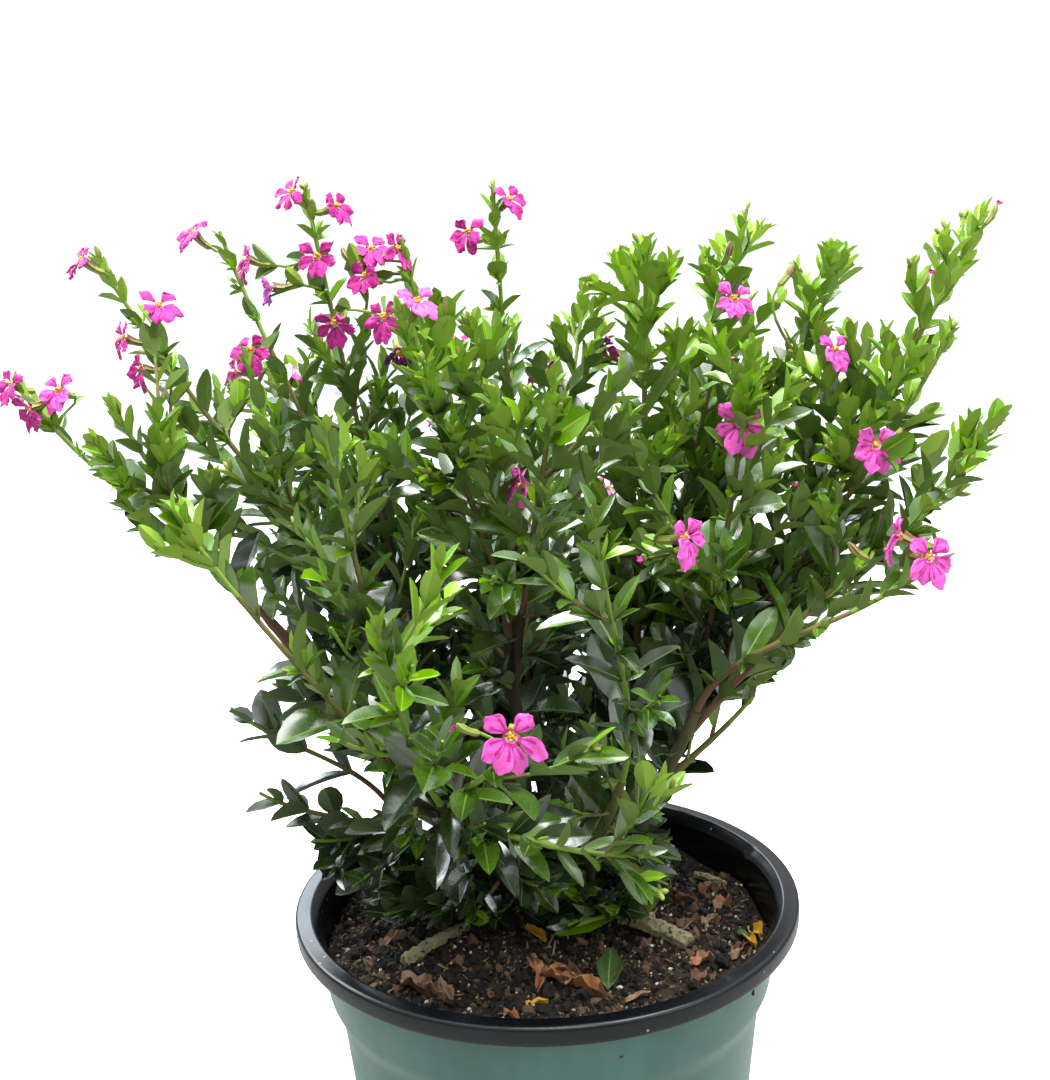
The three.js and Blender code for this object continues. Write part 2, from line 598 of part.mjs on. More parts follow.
for (const shoot of grownShoots) {
  const fromSide = shoot.at < 1;
  if (shoot.bough) {
    const radiusAt = (share) => boughRadius(shoot, share);
    const whole = taperedLimb(shoot.bough, radiusAt, limbSides, ringsFor(shoot.bough));
    const solid = fromSide ? whole.subtract(roomFor(shoot.stem)) : whole;
    addPiece(`bough_${shoot.name}`, geometryFrom(solid), bark);
  }
  const leafy = foliageSolid(shoot);
  const solid = fromSide && !shoot.bough ? leafy.subtract(roomFor(shoot.stem)) : leafy;
  addPiece(`foliage_${shoot.name}`, geometryFrom(solid), foliage);
}

export default plant;
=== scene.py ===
import math

import bmesh
import bpy
import numpy as np
from mathutils import Matrix, Vector, noise
from mathutils.kdtree import KDTree


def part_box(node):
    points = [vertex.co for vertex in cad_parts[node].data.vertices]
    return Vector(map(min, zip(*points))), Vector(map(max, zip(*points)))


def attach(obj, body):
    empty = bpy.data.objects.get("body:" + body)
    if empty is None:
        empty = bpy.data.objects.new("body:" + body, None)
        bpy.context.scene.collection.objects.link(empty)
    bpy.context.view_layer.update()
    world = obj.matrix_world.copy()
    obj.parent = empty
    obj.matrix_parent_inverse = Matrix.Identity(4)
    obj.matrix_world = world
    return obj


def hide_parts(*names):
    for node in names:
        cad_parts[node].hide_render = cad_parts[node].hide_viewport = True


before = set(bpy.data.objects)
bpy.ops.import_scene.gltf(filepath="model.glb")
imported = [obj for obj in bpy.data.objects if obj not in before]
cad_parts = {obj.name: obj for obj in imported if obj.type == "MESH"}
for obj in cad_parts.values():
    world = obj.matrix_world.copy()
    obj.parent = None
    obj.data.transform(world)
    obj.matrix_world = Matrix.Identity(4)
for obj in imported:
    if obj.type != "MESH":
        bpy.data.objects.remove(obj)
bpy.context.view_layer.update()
scene = bpy.context.scene

# Viewpoint: the camera stands close in front of the plant and a little above it, where the photograph was
# taken from. Its place, pitch and roll come from the pot's round rim. The plant's sizes are in millimetres.
mm = 0.001
camera_place = Vector((-2.5, -363.8, 323.1)) * mm
camera_pitch = math.radians(-11.73)
camera_roll = math.radians(-2.16)
camera_data = bpy.data.cameras.new("camera")
camera_data.lens = 43.33
camera_data.sensor_width = 36
camera_data.clip_start = 0.01
camera = bpy.data.objects.new("camera", camera_data)
scene.collection.objects.link(camera)
scene.camera = camera
level = Matrix.Rotation(math.radians(90) + camera_pitch, 4, "X")
camera.matrix_world = Matrix.Translation(camera_place) @ level @ Matrix.Rotation(camera_roll, 4, "Z")


# Studio: soft daylight that is brightest overhead, as under a bright sky, over a plain pale floor. The floor
# and the background look white but throw little light back up. The floor isn't part of the plant.
def screen_colour(red, green, blue):
    """A colour given as a screen shows it, from 0 to 255, as the shaders take it"""
    shares = [value / 255 for value in (red, green, blue)]
    return [v / 12.92 if v < 0.04045 else ((v + 0.055) / 1.055) ** 2.4 for v in shares]


def add_node(tree, kind, values=(), links=(), family="Shader"):
    """A node with its input values set and its inputs linked"""
    node = tree.nodes.new(family + "Node" + kind)
    for key, value in dict(values).items():
        node.inputs[key].default_value = value
    for key, output in dict(links).items():
        tree.links.new(output, node.inputs[key])
    return node


def finish_of(name, colour, roughness, shine=0.5):
    """A material in one base colour, with its node tree and shader"""
    material = bpy.data.materials.new(name)
    material.use_nodes = True
    tree = material.node_tree
    shader = tree.nodes["Principled BSDF"]
    shader.inputs["Base Color"].default_value = (*screen_colour(*colour), 1)
    shader.inputs["Roughness"].default_value = roughness
    shader.inputs["Specular IOR Level"].default_value = shine
    return material, tree, shader


def blend_colours(tree, share, first, second):
    """Mixes two colours, or the output of an earlier mix and a colour, by a share from 0 to 1"""
    mix = tree.nodes.new("ShaderNodeMix")
    mix.data_type = "RGBA"
    tree.links.new(share, mix.inputs["Factor"])
    if hasattr(first, "is_linked"):
        tree.links.new(first, mix.inputs[6])
    else:
        mix.inputs[6].default_value = (*screen_colour(*first), 1)
    mix.inputs[7].default_value = (*screen_colour(*second), 1)
    return mix.outputs[2]


def soft_lamp(name, place, aim, width, power, colour=(1, 1, 1)):
    data = bpy.data.lights.new(name, "AREA")
    data.shape = "SQUARE"
    data.size = width
    data.energy = power
    data.color = colour
    lamp = bpy.data.objects.new(name, data)
    lamp.location = place
    lamp.rotation_euler = (Vector(aim) - Vector(place)).to_track_quat("-Z", "Y").to_euler()
    scene.collection.objects.link(lamp)


plant_middle = (0, 0, 0.25)  # metres, as for the lamps and the floor
soft_lamp("sky_lamp", (0.1, -0.1, 1.6), plant_middle, 1.1, 54)
soft_lamp("side_lamp", (1.3, -0.9, 0.9), plant_middle, 0.9, 5)
bluish = (0.8, 0.91, 1)
soft_lamp("left_lamp", (-1.1, 0.8, 1.1), plant_middle, 0.8, 18, bluish)
soft_lamp("back_lamp", (-0.5, 1.4, 1.1), plant_middle, 1.1, 22, bluish)
scene.world = bpy.data.worlds.new("studio")
scene.world.use_nodes = True
sky_tree = scene.world.node_tree
sky = sky_tree.nodes["Background"]
sky.inputs["Color"].default_value = (*screen_colour(244, 247, 250), 1)
ray = add_node(sky_tree, "TexCoord")
ray_height = add_node(sky_tree, "SeparateXYZ", {}, {"Vector": ray.outputs["Generated"]})
brighter_up = {"From Min": 0.1, "From Max": 1.0, "To Min": 0.32, "To Max": 2.25}
sky_strength = add_node(sky_tree, "MapRange", brighter_up, {"Value": ray_height.outputs["Z"]})
sky_tree.links.new(sky_strength.outputs["Result"], sky.inputs["Strength"])
backdrop = add_node(sky_tree, "Background", {"Color": (1, 1, 1, 1), "Strength": 1.05})
ray_kind = add_node(sky_tree, "LightPath")
either = {0: ray_kind.outputs["Is Camera Ray"], 1: sky.outputs[0], 2: backdrop.outputs[0]}
either_sky = add_node(sky_tree, "MixShader", {}, either)
sky_tree.links.new(either_sky.outputs["Shader"], sky_tree.nodes["World Output"].inputs["Surface"])
scene.view_settings.view_transform = "Standard"

floor_half = 40
floor_grey = (140, 140, 136)
floor_mesh = bpy.data.meshes.new("floor")
corners = [(-1, -1), (1, -1), (1, 1), (-1, 1)]
floor_mesh.from_pydata([(x * floor_half, y * floor_half, 0) for x, y in corners], [], [(0, 1, 2, 3)])
floor = bpy.data.objects.new("floor", floor_mesh)
scene.collection.objects.link(floor)
floor_finish, tree, shader = finish_of("floor_finish", floor_grey, 0.9)
ray_kind = add_node(tree, "LightPath")
floor_colour = blend_colours(tree, ray_kind.outputs["Is Camera Ray"], floor_grey, (254, 254, 254))
tree.links.new(floor_colour, shader.inputs["Base Color"])
floor_mesh.materials.append(floor_finish)


# Pot: one thin moulding of polypropylene with a flat base, a sloping wall, the ledge that nested pots rest
# on, and a rolled rim. It is teal green outside, black inside and at the rim, and has a pale line between.
pot_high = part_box("pot")[1]
rim_radius = pot_high.x / mm
rim_top = pot_high.z / mm
rim_height = 5.6
rim_width = 4.7
band_radius = 69.0
ledge_radius = 66.6
ledge_top = rim_top - 24
ledge_foot = ledge_top - 6
wall_radius = 63.4
base_radius = 52.0
fan_radius = base_radius - 14  # within it the flat base is one fan of triangles
wall = 1.4
floor_thickness = 2.0
colour_line = 0.55  # height of the pale line under the rim
pot_segments = 192


def mesh_piece(name, corners, triangles, slots, finishes, sharp=50):
    """A smooth piece from corners in millimetres and triangles, with edges sharp past an angle in degrees"""
    mesh = bpy.data.meshes.new(name)
    mesh.vertices.add(len(corners))
    mesh.vertices.foreach_set("co", (np.asarray(corners) * mm).astype(np.float32).ravel())
    mesh.loops.add(3 * len(triangles))
    mesh.loops.foreach_set("vertex_index", np.asarray(triangles, np.int32).ravel())
    mesh.polygons.add(len(triangles))
    mesh.polygons.foreach_set("loop_start", np.arange(0, 3 * len(triangles), 3, dtype=np.int32))
    mesh.polygons.foreach_set("material_index", np.broadcast_to(slots, len(triangles)).astype(np.int32))
    mesh.update(calc_edges=True)
    mesh.shade_smooth()
    mesh.set_sharp_from_angle(angle=math.radians(sharp))
    for finish in finishes:
        mesh.materials.append(finish)
    piece = bpy.data.objects.new(name, mesh)
    scene.collection.objects.link(piece)
    return piece


def ring_triangles(rings, sides, turned=()):
    """Triangles between rings of corners. On the turned sides, their long edges slope the other way."""
    ring, side = np.meshgrid(np.arange(rings - 1), np.arange(sides), indexing="ij")
    a = ring * sides + side
    b = ring * sides + (side + 1) % sides
    lower = np.stack([a, b, b + sides], -1)
    upper = np.stack([a, b + sides, a + sides], -1)
    for column in turned:
        lower[:, column, 2] = a[:, column] + sides
        upper[:, column, 0] = b[:, column]
    return np.stack([lower, upper], -2).reshape(-1, 3)


def capped(rings, sides, turned=()):
    """Triangles of a closed shell of rings, whose last two corners are the middles of its ends"""
    side = np.arange(sides)
    after = (side + 1) % sides
    last = (rings - 1) * sides
    foot = np.stack([np.full(sides, rings * sides), after, side], -1)
    head = np.stack([np.full(sides, rings * sides + 1), last + side, last + after], -1)
    return np.concatenate([ring_triangles(rings, sides, turned), foot, head])


def rounded(outline, steps=5):
    """An outline of radius, height and rounding with its corners turned into curves"""
    points = []
    for before, corner, after in zip([outline[0], *outline], outline, [*outline[1:], outline[-1]]):
        here = np.array(corner[:2], float)
        rounding = corner[2]
        if rounding == 0:
            points.append(here)
            continue
        to_before = np.array(before[:2]) - here
        to_after = np.array(after[:2]) - here
        first = here + to_before / np.linalg.norm(to_before) * rounding
        last = here + to_after / np.linalg.norm(to_after) * rounding
        for t in np.linspace(0, 1, steps):
            points.append((1 - t) ** 2 * first + 2 * t * (1 - t) * here + t ** 2 * last)
    return np.array(points)


def turns(count):
    """So many even steps round a circle"""
    return np.arange(count) * 2 * math.pi / count


def spun(profile, segments):
    """Corners of an outline spun round the upright axis, closed by a middle point at each end"""
    turn = turns(segments)
    rings = np.stack([
        profile[:, 0, None] * np.cos(turn),
        profile[:, 0, None] * np.sin(turn),
        np.broadcast_to(profile[:, 1, None], (len(profile), segments)),
    ], -1)
    ends = [[0, 0, profile[0, 1]], [0, 0, profile[-1, 1]]]
    return np.concatenate([rings.reshape(-1, 3), ends])


rim_foot = rim_top - rim_height
outside = [
    (fan_radius, 0, 0), (base_radius, 0, 2.4), (wall_radius, ledge_foot, 2.0),
    (ledge_radius, ledge_top, 1.6), (band_radius, rim_foot - colour_line, 0), (band_radius, rim_foot, 0.4),
    (rim_radius, rim_foot, 1.5), (rim_radius, rim_top, 1.4), (rim_radius - rim_width, rim_top, 0.6),
]
inside = [
    (band_radius - wall, rim_foot + rim_height / 2, 1.5), (ledge_radius - wall, ledge_top, 1.5),
    (wall_radius - wall, ledge_foot, 1.5), (base_radius - wall, floor_thickness, 1.5),
    (fan_radius, floor_thickness, 0),
]
pot_profile = rounded(outside + inside)
pot_corners = spun(pot_profile, pot_segments)
pot_turn = np.arctan2(pot_corners[:, 1], pot_corners[:, 0])
# The thin rim isn't quite round, and it has a nick at its inner edge
out_of_round = 0.22 * np.sin(2 * pot_turn + 0.8) + 0.1 * np.sin(5 * pot_turn)
height_share = pot_corners[:, 2] / rim_top
radius_now = np.hypot(pot_corners[:, 0], pot_corners[:, 1]) + 1e-6
grow = 1 + out_of_round * height_share ** 2 / radius_now
pot_corners[:, :2] *= grow[:, None]
nick_turn = math.radians(18)
nick_width = 0.012
nick_depth = 1.6
at_inner_edge = np.clip((rim_radius - 2.5 - radius_now) / 2, 0, 1) * (height_share > 0.975)
pot_corners[:, 2] -= nick_depth * np.exp(-((pot_turn - nick_turn) / nick_width) ** 2) * at_inner_edge

pot_triangles = capped(len(pot_profile), pot_segments)
middles = (pot_profile[1:] + pot_profile[:-1]) / 2
first_black = int(np.argmax(pot_profile[:, 1]))
GREEN, BLACK, LINE = range(3)
strip = np.full(len(middles), GREEN)
strip[middles[:, 1] > rim_foot] = BLACK
strip[(middles[:, 1] > rim_foot - colour_line) & (middles[:, 1] < rim_foot)] = LINE
strip[(middles[:, 1] > rim_foot - 0.1) & (middles[:, 0] > band_radius + 0.3)] = BLACK
strip[first_black:] = BLACK
pot_slots = np.repeat(strip, 2 * pot_segments)
pot_slots = np.concatenate([pot_slots, np.full(pot_segments, GREEN), np.full(pot_segments, BLACK)])


def shader_group(name, inputs, outputs):
    """A node group with numbers in and numbers out"""
    group = bpy.data.node_groups.new(name, "ShaderNodeTree")
    for label, value in inputs.items():
        socket = group.interface.new_socket(label, in_out="INPUT", socket_type="NodeSocketFloat")
        socket.default_value = value
    for label in outputs:
        group.interface.new_socket(label, in_out="OUTPUT", socket_type="NodeSocketFloat")
    return group, group.nodes.new("NodeGroupInput"), group.nodes.new("NodeGroupOutput")


def add_group(tree, group, values):
    node = tree.nodes.new("ShaderNodeGroup")
    node.node_tree = group
    for key, value in values.items():
        node.inputs[key].default_value = value
    return node


def maths(tree, operation, *values, kind="Math"):
    """The result of a sum, a product or a comparison of outputs and numbers"""
    node = tree.nodes.new("ShaderNode" + kind)
    node.operation = operation
    for socket, value in zip(node.inputs, values):
        if hasattr(value, "is_linked"):
            tree.links.new(value, socket)
        else:
            socket.default_value = value
    return node.outputs[0]


def scaled(tree, value, low, high, start=0, end=1):
    """A value taken from the range from start to end to the range from low to high"""
    limits = {"From Min": start, "From Max": end, "To Min": low, "To Max": high}
    return add_node(tree, "MapRange", limits, {"Value": value}).outputs[0]


# Grain: a broad and a fine unevenness over any surface, stretched along the height where asked
grain, grain_in, grain_out = shader_group("grain", {"Scale": 60, "Squash": 1}, ["Broad", "Fine", "Height"])
where = add_node(grain, "TexCoord").outputs["Object"]
squash = add_node(grain, "CombineXYZ", {"X": 1, "Y": 1}, {"Z": grain_in.outputs["Squash"]})
stretched = maths(grain, "MULTIPLY", where, squash.outputs[0], kind="VectorMath")
finer = maths(grain, "MULTIPLY", grain_in.outputs["Scale"], 7)
broad_links = {"Vector": stretched, "Scale": grain_in.outputs["Scale"]}
broad = add_node(grain, "TexNoise", {"Detail": 3.0, "Roughness": 0.6}, broad_links).outputs[0]
fine_links = {"Vector": stretched, "Scale": finer}
fine = add_node(grain, "TexNoise", {"Detail": 2.0, "Roughness": 0.5}, fine_links).outputs[0]
height = maths(grain, "MULTIPLY_ADD", fine, 0.35, broad)
for label, output in (("Broad", broad), ("Fine", fine), ("Height", height)):
    grain.links.new(output, grain_out.inputs[label])

# Wear: small specks of dirt, thin scratches that run round, and cloudy scuffs
wear_sizes = {"Speck Scale": 90, "Speck Size": 0.06, "Scuff Scale": 30}
wear, wear_in, wear_out = shader_group("wear", wear_sizes, ["Specks", "Scratches", "Scuffs"])
where = add_node(wear, "TexCoord").outputs["Object"]
cells = add_node(wear, "TexVoronoi", {}, {"Vector": where, "Scale": wear_in.outputs["Speck Scale"]})
near = maths(wear, "LESS_THAN", cells.outputs["Distance"], wear_in.outputs["Speck Size"])
dealt_to = add_node(wear, "SeparateColor", {}, {"Color": cells.outputs["Color"]})
specks = maths(wear, "MULTIPLY", near, maths(wear, "GREATER_THAN", dealt_to.outputs[0], 0.72))
flat = add_node(wear, "Mapping", {"Scale": (1, 1, 16), "Rotation": (0.12, 0.05, 0)}, {"Vector": where})
line_sizes = {"Scale": 55, "Detail": 4.0, "Roughness": 0.7}
lines = add_node(wear, "TexNoise", line_sizes, {"Vector": flat.outputs[0]})
scratches = scaled(wear, lines.outputs[0], 0, 1, 0.66, 0.72)
cloud_links = {"Vector": where, "Scale": wear_in.outputs["Scuff Scale"]}
cloud = add_node(wear, "TexNoise", {"Detail": 5.0, "Roughness": 0.65}, cloud_links)
scuffs = scaled(wear, cloud.outputs[0], 0, 1, 0.52, 0.74)
for label, output in (("Specks", specks), ("Scratches", scratches), ("Scuffs", scuffs)):
    wear.links.new(output, wear_out.inputs[label])


def painted(tree, shader, share, first, second, *coats):
    """Gives a shader two colours blended by a share, and further coats over them, each by its own share"""
    colour = blend_colours(tree, share, first, second)
    for share, coat in coats:
        colour = blend_colours(tree, share, colour, coat)
    tree.links.new(colour, shader.inputs["Base Color"])


def bump_by(tree, shader, height, strength, distance):
    """Relief from a height, with its depth in millimetres"""
    bump = add_node(tree, "Bump", {"Strength": strength, "Distance": distance * mm}, {"Height": height})
    tree.links.new(bump.outputs[0], shader.inputs["Normal"])


green_plastic, tree, shader = finish_of("green_plastic", (70, 116, 102), 0.4)
uneven = add_group(tree, grain, {"Scale": 22})
worn = add_group(tree, wear, {"Speck Scale": 105, "Speck Size": 0.034, "Scuff Scale": 26})
# Pale and dark upright streaks on the green wall are painted reflections and painted shade
reflection_and_shade_streaks = add_group(tree, grain, {"Scale": 55, "Squash": 0.1})
painted(
    tree, shader, uneven.outputs["Broad"], (58, 97, 88), (74, 113, 104),
    (scaled(tree, reflection_and_shade_streaks.outputs["Broad"], 0, 0.22, 0.5, 0.75), (104, 152, 138)),
    (scaled(tree, reflection_and_shade_streaks.outputs["Broad"], 0, 0.3, 0.48, 0.28), (44, 76, 62)),
    (scaled(tree, worn.outputs["Scuffs"], 0, 0.3), (122, 158, 146)),
    (scaled(tree, worn.outputs["Scratches"], 0, 0.22), (40, 76, 64)),
    (worn.outputs["Specks"], (24, 30, 26)),
)
tree.links.new(scaled(tree, worn.outputs["Scuffs"], 0.3, 0.55), shader.inputs["Roughness"])
bump_by(tree, shader, uneven.outputs["Height"], 0.5, 0.25)

black_plastic, tree, shader = finish_of("black_plastic", (16, 17, 19), 0.3, 0.4)
uneven = add_group(tree, grain, {"Scale": 60})
worn = add_group(tree, wear, {"Speck Scale": 210, "Speck Size": 0.085, "Scuff Scale": 45})
painted(
    tree, shader, uneven.outputs["Broad"], (2, 4, 8), (7, 10, 16),
    (scaled(tree, worn.outputs["Scuffs"], 0, 0.3), (24, 30, 38)),
    (scaled(tree, worn.outputs["Scratches"], 0, 0.4), (54, 61, 70)),
    (scaled(tree, worn.outputs["Specks"], 0, 0.8), (150, 146, 134)),
)
tree.links.new(scaled(tree, uneven.outputs["Broad"], 0.12, 0.38), shader.inputs["Roughness"])
bump_by(tree, shader, uneven.outputs["Height"], 0.4, 0.12)

line_plastic, tree, shader = finish_of("line_plastic", (150, 186, 170), 0.45)
uneven = add_group(tree, grain, {"Scale": 240})
painted(tree, shader, uneven.outputs["Broad"], (104, 146, 130), (182, 206, 194))

pot_finishes = [green_plastic, black_plastic, line_plastic]
pot = mesh_piece("pot_shell", pot_corners, pot_triangles, pot_slots, pot_finishes)
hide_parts("pot")
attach(pot, "root")


# Soil: dark potting mix of peat and bark, which fills the pot to a little below the rim. Its top is a relief
# of lumps and crumbs, modelled ring by ring.
soil_drop = 13
soil_rise = 2
soil_radius = 66.1
soil_gap = 0.5  # to the pot's wall and floor
clump_radius = 38  # the stems stand within it
lumpy_radius = 60  # and from here outwards the lumps have their full height
lump_height = 1.4
soil_top = rim_top - soil_drop
soil_segments = 230
soil_ring_count = 74


def soil_height(x, y):
    """Height of the soil without its crumbs"""
    r = np.hypot(x, y)
    share = np.clip((r - clump_radius) / (lumpy_radius - clump_radius), 0, 1)
    lumpy = share * share * (3 - 2 * share) * lump_height
    lump = np.sin(x / 7 + 1) * np.cos(y / 9) + 0.5 * np.sin((x - 2 * y) / 11)
    return soil_top + soil_rise * (1 - (r / soil_radius) ** 2) + lumpy * lump


def crumbly(x, y):
    """Height that the crumbs add at a place, up to about three millimetres"""
    place = Vector((x, y, 0))
    clods = noise.voronoi(place / 7.5)[0][0]
    lumps = noise.voronoi(place / 3.1 + Vector((9, 4, 0)))[0][0]
    swell = noise.noise(place / 16)
    grit = noise.noise(place / 1.1)
    return 2.8 * (0.5 - clods) + 1.6 * (0.45 - lumps) + 1.8 * swell + 0.35 * grit


soil_radii = soil_radius * np.linspace(1, 0, soil_ring_count, endpoint=False) ** 0.9
below = np.array([
    (base_radius - wall - soil_gap, floor_thickness + soil_gap),
    (wall_radius - wall - soil_gap, ledge_foot - soil_gap),
    (ledge_radius - wall - soil_gap, ledge_top - soil_gap),
])
soil_profile = np.concatenate([below, np.stack([soil_radii, np.full(soil_ring_count, soil_top)], -1)])
soil_corners = spun(soil_profile, soil_segments)
on_top = soil_corners[:, 2] > soil_top - 0.01
x, y = soil_corners[on_top, 0], soil_corners[on_top, 1]
crumbs = np.array([crumbly(*place) for place in zip(x, y)])
from_wall = np.clip((soil_radius - np.hypot(x, y)) / 2 + 0.25, 0, 1)
soil_corners[on_top, 2] = soil_height(x, y) + crumbs * from_wall

potting_mix, tree, shader = finish_of("potting_mix", (46, 34, 27), 0.9, 0.3)
uneven = add_group(tree, grain, {"Scale": 120})
gritty = add_group(tree, grain, {"Scale": 420})
painted(tree, shader, uneven.outputs["Broad"], (9, 7, 5), (80, 64, 48),
        (scaled(tree, gritty.outputs["Fine"], 0, 0.7), (24, 19, 15)))
tree.links.new(scaled(tree, gritty.outputs["Broad"], 0.7, 1), shader.inputs["Roughness"])
bump_by(tree, shader, gritty.outputs["Height"], 0.9, 0.8)

soil = mesh_piece("soil_bed", soil_corners, capped(len(soil_profile), soil_segments), 0, [potting_mix], 180)
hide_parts("soil")
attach(soil, "root")


# Crumbs, bark chips and perlite: loose bits of the mix that lie on the soil. Each kind is one rough bit,
# strewn over the soil's top by Geometry Nodes at random sizes and turns, and joined.
def rough_bit(stretch, shape_seed, fineness, finish):
    """A lump with an uneven surface, about a millimetre across before it is stretched"""
    shape = bmesh.new()
    bmesh.ops.create_icosphere(shape, subdivisions=fineness, radius=0.5 * mm)
    for corner in shape.verts:
        swell = 1 + 1.3 * noise.noise(corner.co / mm * 1.9 + Vector((shape_seed, fineness, 0)))
        corner.co = Vector([side * share * swell for side, share in zip(corner.co, stretch)])
    mesh = bpy.data.meshes.new("bit")
    shape.to_mesh(mesh)
    shape.free()
    mesh.materials.append(finish)
    bit = bpy.data.objects.new("bit", mesh)
    scene.collection.objects.link(bit)
    return bit


strew = bpy.data.node_groups.new("strew", "GeometryNodeTree")
strew_inputs = {
    "Geometry": "Geometry", "Bit": "Object", "Density": "Float", "Smallest": "Float",
    "Largest": "Float", "Tilt": "Float", "Seed": "Int", "Finish": "Material",
}
for label, kind in strew_inputs.items():
    strew.interface.new_socket(label, in_out="INPUT", socket_type="NodeSocket" + kind)
strew.interface.new_socket("Geometry", in_out="OUTPUT", socket_type="NodeSocketGeometry")
asked = strew.nodes.new("NodeGroupInput").outputs
spread = {"Mesh": asked["Geometry"], "Density": asked["Density"], "Seed": asked["Seed"]}
points = add_node(strew, "DistributePointsOnFaces", {}, spread, "Geometry")
bit_shape = add_node(strew, "ObjectInfo", {}, {"Object": asked["Bit"]}, "Geometry")
size_range = {2: asked["Smallest"], 3: asked["Largest"], "Seed": asked["Seed"]}
size_value = add_node(strew, "RandomValue", {}, size_range, "Function")
other_way = maths(strew, "MULTIPLY", asked["Tilt"], -1)
least_turn = add_node(strew, "CombineXYZ", {}, {"X": other_way, "Y": other_way})
most_turn = add_node(strew, "CombineXYZ", {"Z": 2 * math.pi}, {"X": asked["Tilt"], "Y": asked["Tilt"]})
turn_value = strew.nodes.new("FunctionNodeRandomValue")
turn_value.data_type = "FLOAT_VECTOR"
for key, output in ((0, least_turn.outputs[0]), (1, most_turn.outputs[0]), ("Seed", asked["Seed"])):
    strew.links.new(output, turn_value.inputs[key])
placing = {"Points": points.outputs["Points"], "Instance": bit_shape.outputs["Geometry"],
           "Rotation": turn_value.outputs[0], "Scale": size_value.outputs[1]}
placed = add_node(strew, "InstanceOnPoints", {}, placing, "Geometry")
realized = add_node(strew, "RealizeInstances", {}, {"Geometry": placed.outputs[0]}, "Geometry")
finishing = {"Geometry": realized.outputs[0], "Material": asked["Finish"]}
finished = add_node(strew, "SetMaterial", {}, finishing, "Geometry")
strew.links.new(finished.outputs[0], strew.nodes.new("NodeGroupOutput").inputs["Geometry"])

wall_room = 0.8  # between the bits' middles and the pot's wall
top_triangles = capped(len(soil_profile), soil_segments)
within = on_top & (np.hypot(soil_corners[:, 0], soil_corners[:, 1]) < soil_radius - wall_room)
top_triangles = top_triangles[within[top_triangles].all(axis=1)]


def strewn(name, finish, stretch, shape_seed, fineness, density, smallest, largest, tilt, seed):
    """A joined piece of many copies of a rough bit, so many to a square metre, strewn over the soil"""
    bit = rough_bit(stretch, shape_seed, fineness, finish)
    piece = mesh_piece(name, soil_corners, top_triangles, 0, [], 180)
    modifier = piece.modifiers.new("strew", "NODES")
    modifier.node_group = strew
    values = {"Bit": bit, "Density": density, "Smallest": smallest, "Largest": largest, "Tilt": tilt,
              "Seed": seed, "Finish": finish}
    for socket in strew.interface.items_tree:
        if socket.in_out == "INPUT" and socket.name in values:
            modifier[socket.identifier] = values[socket.name]
    graph = bpy.context.evaluated_depsgraph_get()
    joined = bpy.data.meshes.new_from_object(piece.evaluated_get(graph))
    piece.modifiers.clear()
    piece.data = joined
    bpy.data.objects.remove(bit)
    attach(piece, "root")


def grained_finish(name, colour, roughness, scale=300, strength=0.6, depth=0.3, shine=0.4, wax=0.0):
    """One plain colour, with fine grain in its gloss and its relief"""
    material, tree, shader = finish_of(name, colour, roughness, shine)
    shader.inputs["Coat Weight"].default_value = wax
    shader.inputs["Coat Roughness"].default_value = 0.24
    shader.inputs["Coat IOR"].default_value = 1.8
    uneven = add_group(tree, grain, {"Scale": scale})
    gloss = scaled(tree, uneven.outputs["Broad"], max(roughness - 0.15, 0.05), min(roughness + 0.15, 1))
    tree.links.new(gloss, shader.inputs["Roughness"])
    bump_by(tree, shader, uneven.outputs["Height"], strength, depth)
    return material


dark_crumb = grained_finish("dark_crumb", (22, 18, 14), 0.8)
brown_crumb = grained_finish("brown_crumb", (90, 70, 52), 0.85)
grit_crumb = grained_finish("grit_crumb", (56, 46, 34), 0.85)
tan_crumb = grained_finish("tan_crumb", (168, 152, 120), 0.85)
mossy_crumb = grained_finish("mossy_crumb", (84, 86, 54), 0.85)
bark_chip = grained_finish("bark_chip", (104, 78, 58), 0.75)
pale_fibre = grained_finish("pale_fibre", (146, 126, 94), 0.8)
perlite_white = grained_finish("perlite_white", (222, 218, 206), 0.8)
# Name, finish, stretch, seed of its shape, fineness, number to a square metre, smallest, largest, tilt, seed
loose_bits = [
    ("soil_crumbs_dark", dark_crumb, (1, 0.9, 0.7), 5, 1, 260000, 0.6, 3.0, 3, 11),
    ("soil_clods_dark", dark_crumb, (1.1, 1, 0.8), 4, 2, 24000, 1.8, 4.6, 3, 19),
    ("soil_clods_brown", brown_crumb, (1.2, 1, 0.7), 5, 2, 15000, 1.6, 4.2, 3, 20),
    ("soil_crumbs_brown", brown_crumb, (1.1, 0.8, 0.6), 4, 1, 110000, 0.5, 2.4, 3, 12),
    ("soil_crumbs_grit", grit_crumb, (1.2, 0.9, 0.8), 4, 1, 420000, 0.4, 1.3, 3, 18),
    ("soil_crumbs_tan", tan_crumb, (1.3, 0.8, 0.6), 5, 1, 100000, 0.3, 1.4, 3, 16),
    ("soil_crumbs_mossy", mossy_crumb, (1.1, 0.9, 0.7), 4, 1, 70000, 0.4, 1.6, 3, 17),
    ("soil_bark_chips", bark_chip, (3.2, 1.4, 0.5), 4, 2, 13000, 0.5, 1.9, 0.8, 13),
    ("soil_fibres", pale_fibre, (5, 0.5, 0.4), 5, 1, 16000, 0.5, 1.5, 0.8, 14),
    ("soil_perlite", perlite_white, (1, 0.9, 0.8), 7, 1, 14000, 0.5, 1.9, 3, 15),
]
for loose_bit in loose_bits:
    strewn(*loose_bit)


